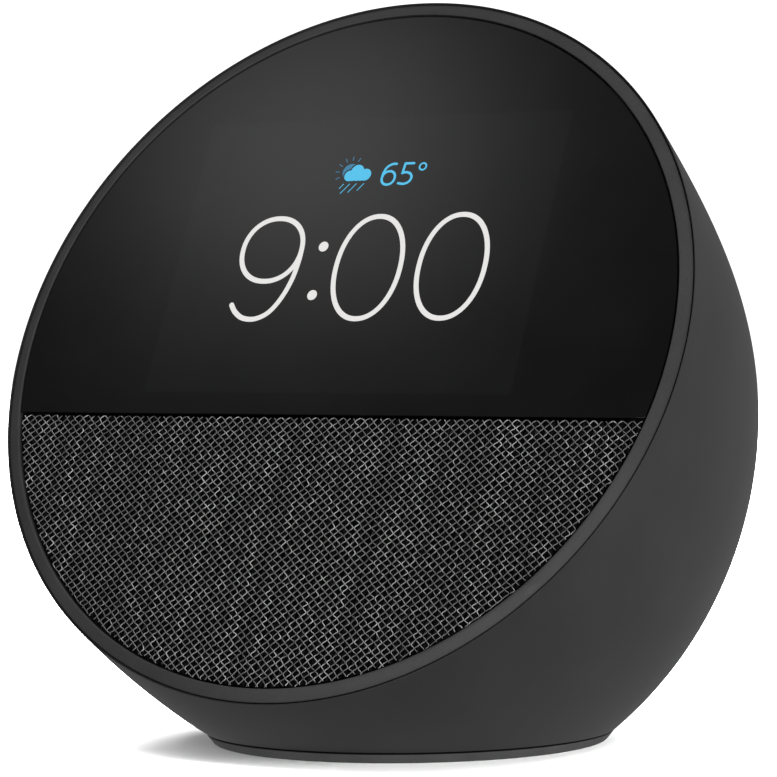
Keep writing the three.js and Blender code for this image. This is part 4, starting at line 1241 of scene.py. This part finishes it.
def world_light():
    """White backdrop and an even dome on matt surfaces; a dim room in gloss, brighter behind."""
    world = bpy.data.worlds.new("studio")
    bpy.context.scene.world = world
    world.use_nodes = True
    tree = world.node_tree
    tree.nodes.clear()
    direction = add_node(tree, "ShaderNodeTexCoord").outputs["Generated"]
    split = add_node(tree, "ShaderNodeSeparateXYZ", Vector=direction).outputs
    depth = add_node(
        tree, "ShaderNodeMapRange", Value=split["Y"], From_Min=-0.25, From_Max=0.6, To_Min=0.06, To_Max=0.62
    )
    depth.interpolation_type = "SMOOTHSTEP"
    height = add_node(
        tree, "ShaderNodeMapRange", Value=split["Z"], From_Min=-0.4, From_Max=0.6, To_Min=1.15, To_Max=0.6
    )
    room = math_node(tree, "MULTIPLY", depth.outputs["Result"], height.outputs["Result"])
    gloss = add_node(tree, "ShaderNodeBackground", Strength=room)
    even = add_node(tree, "ShaderNodeBackground", Strength=DOME, Color=(1, 1, 1, 1))
    mix = tree.nodes.new("ShaderNodeMixShader")
    ray = add_node(tree, "ShaderNodeLightPath").outputs["Is Glossy Ray"]
    for socket, source in zip(mix.inputs, (ray, even.outputs[0], gloss.outputs[0])):
        tree.links.new(source, socket)
    add_node(tree, "ShaderNodeOutputWorld", Surface=mix.outputs[0])


def area_light(name, place, target, size, watts):
    data = bpy.data.lights.new(name, "AREA")
    data.shape = "RECTANGLE"
    data.size, data.size_y = size
    data.energy = watts
    lamp = bpy.data.objects.new(name, data)
    bpy.context.scene.collection.objects.link(lamp)
    lamp.location = place
    lamp.rotation_mode = "QUATERNION"
    lamp.rotation_quaternion = (Vector(target) - Vector(place)).to_track_quat("-Z", "Y")
    lamp.visible_glossy = False
    return lamp


def camera():
    """The photograph's view: a long lens half a metre from the middle of the object."""
    azimuth, elevation = math.radians(29.487), math.radians(0.297)
    target = Vector((0, -0.0015, 0.055))
    level = math.cos(elevation)
    back = Vector((math.sin(azimuth) * level, -math.cos(azimuth) * level, math.sin(elevation)))
    data = bpy.data.cameras.new("camera")
    data.sensor_width = 36.0
    data.lens = 151.47
    data.shift_x = -0.0488
    data.shift_y = -0.0170
    data.clip_start = 0.02
    data.clip_end = 60.0
    obj = bpy.data.objects.new("camera", data)
    bpy.context.scene.collection.objects.link(obj)
    obj.location = target + back * 0.5
    obj.rotation_mode = "QUATERNION"
    obj.rotation_quaternion = (-back).to_track_quat("-Z", "Y")
    bpy.context.scene.camera = obj


def studio():
    """Floor, its own lamp, two soft fills from the right and two cards that show in gloss."""
    scene = bpy.context.scene
    scene.view_settings.view_transform = "Standard"
    scene.view_settings.look = "None"
    world_light()
    floor()
    glow_card()
    floor_only = bpy.data.collections.new("floor_only")
    floor_only.objects.link(bpy.data.objects["floor"])
    middle = (0, 0, 0.05)
    wash = area_light("floor_wash", (0, 0.4, 3.0), (0, 0, 0), (5.0, 5.0), 950)
    wash.light_linking.receiver_collection = floor_only
    area_light("low_right_fill", (0.98, -0.78, 0.12), middle, (0.5, 0.2), 6.0)
    area_light("right_fill", (1.3, -0.2, 0.45), middle, (0.7, 0.7), 18.0)
    front = area_light("front_card", (-0.05, -1.5, 0.39), middle, (0.9, 0.5), 2.6)
    front.visible_glossy = True


# ---- assembly

camera()
dress_cad_nodes()
rear_shell()
bezel_ring()
display_glass()
clock_digits()
weather_signs()
grille()
rubber_foot()
keys()
socket()
studio()

visual_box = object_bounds()
boxes = {"cad": cad_box, "visual": visual_box}
{name: [list(low), list(high)] for name, (low, high) in boxes.items()}
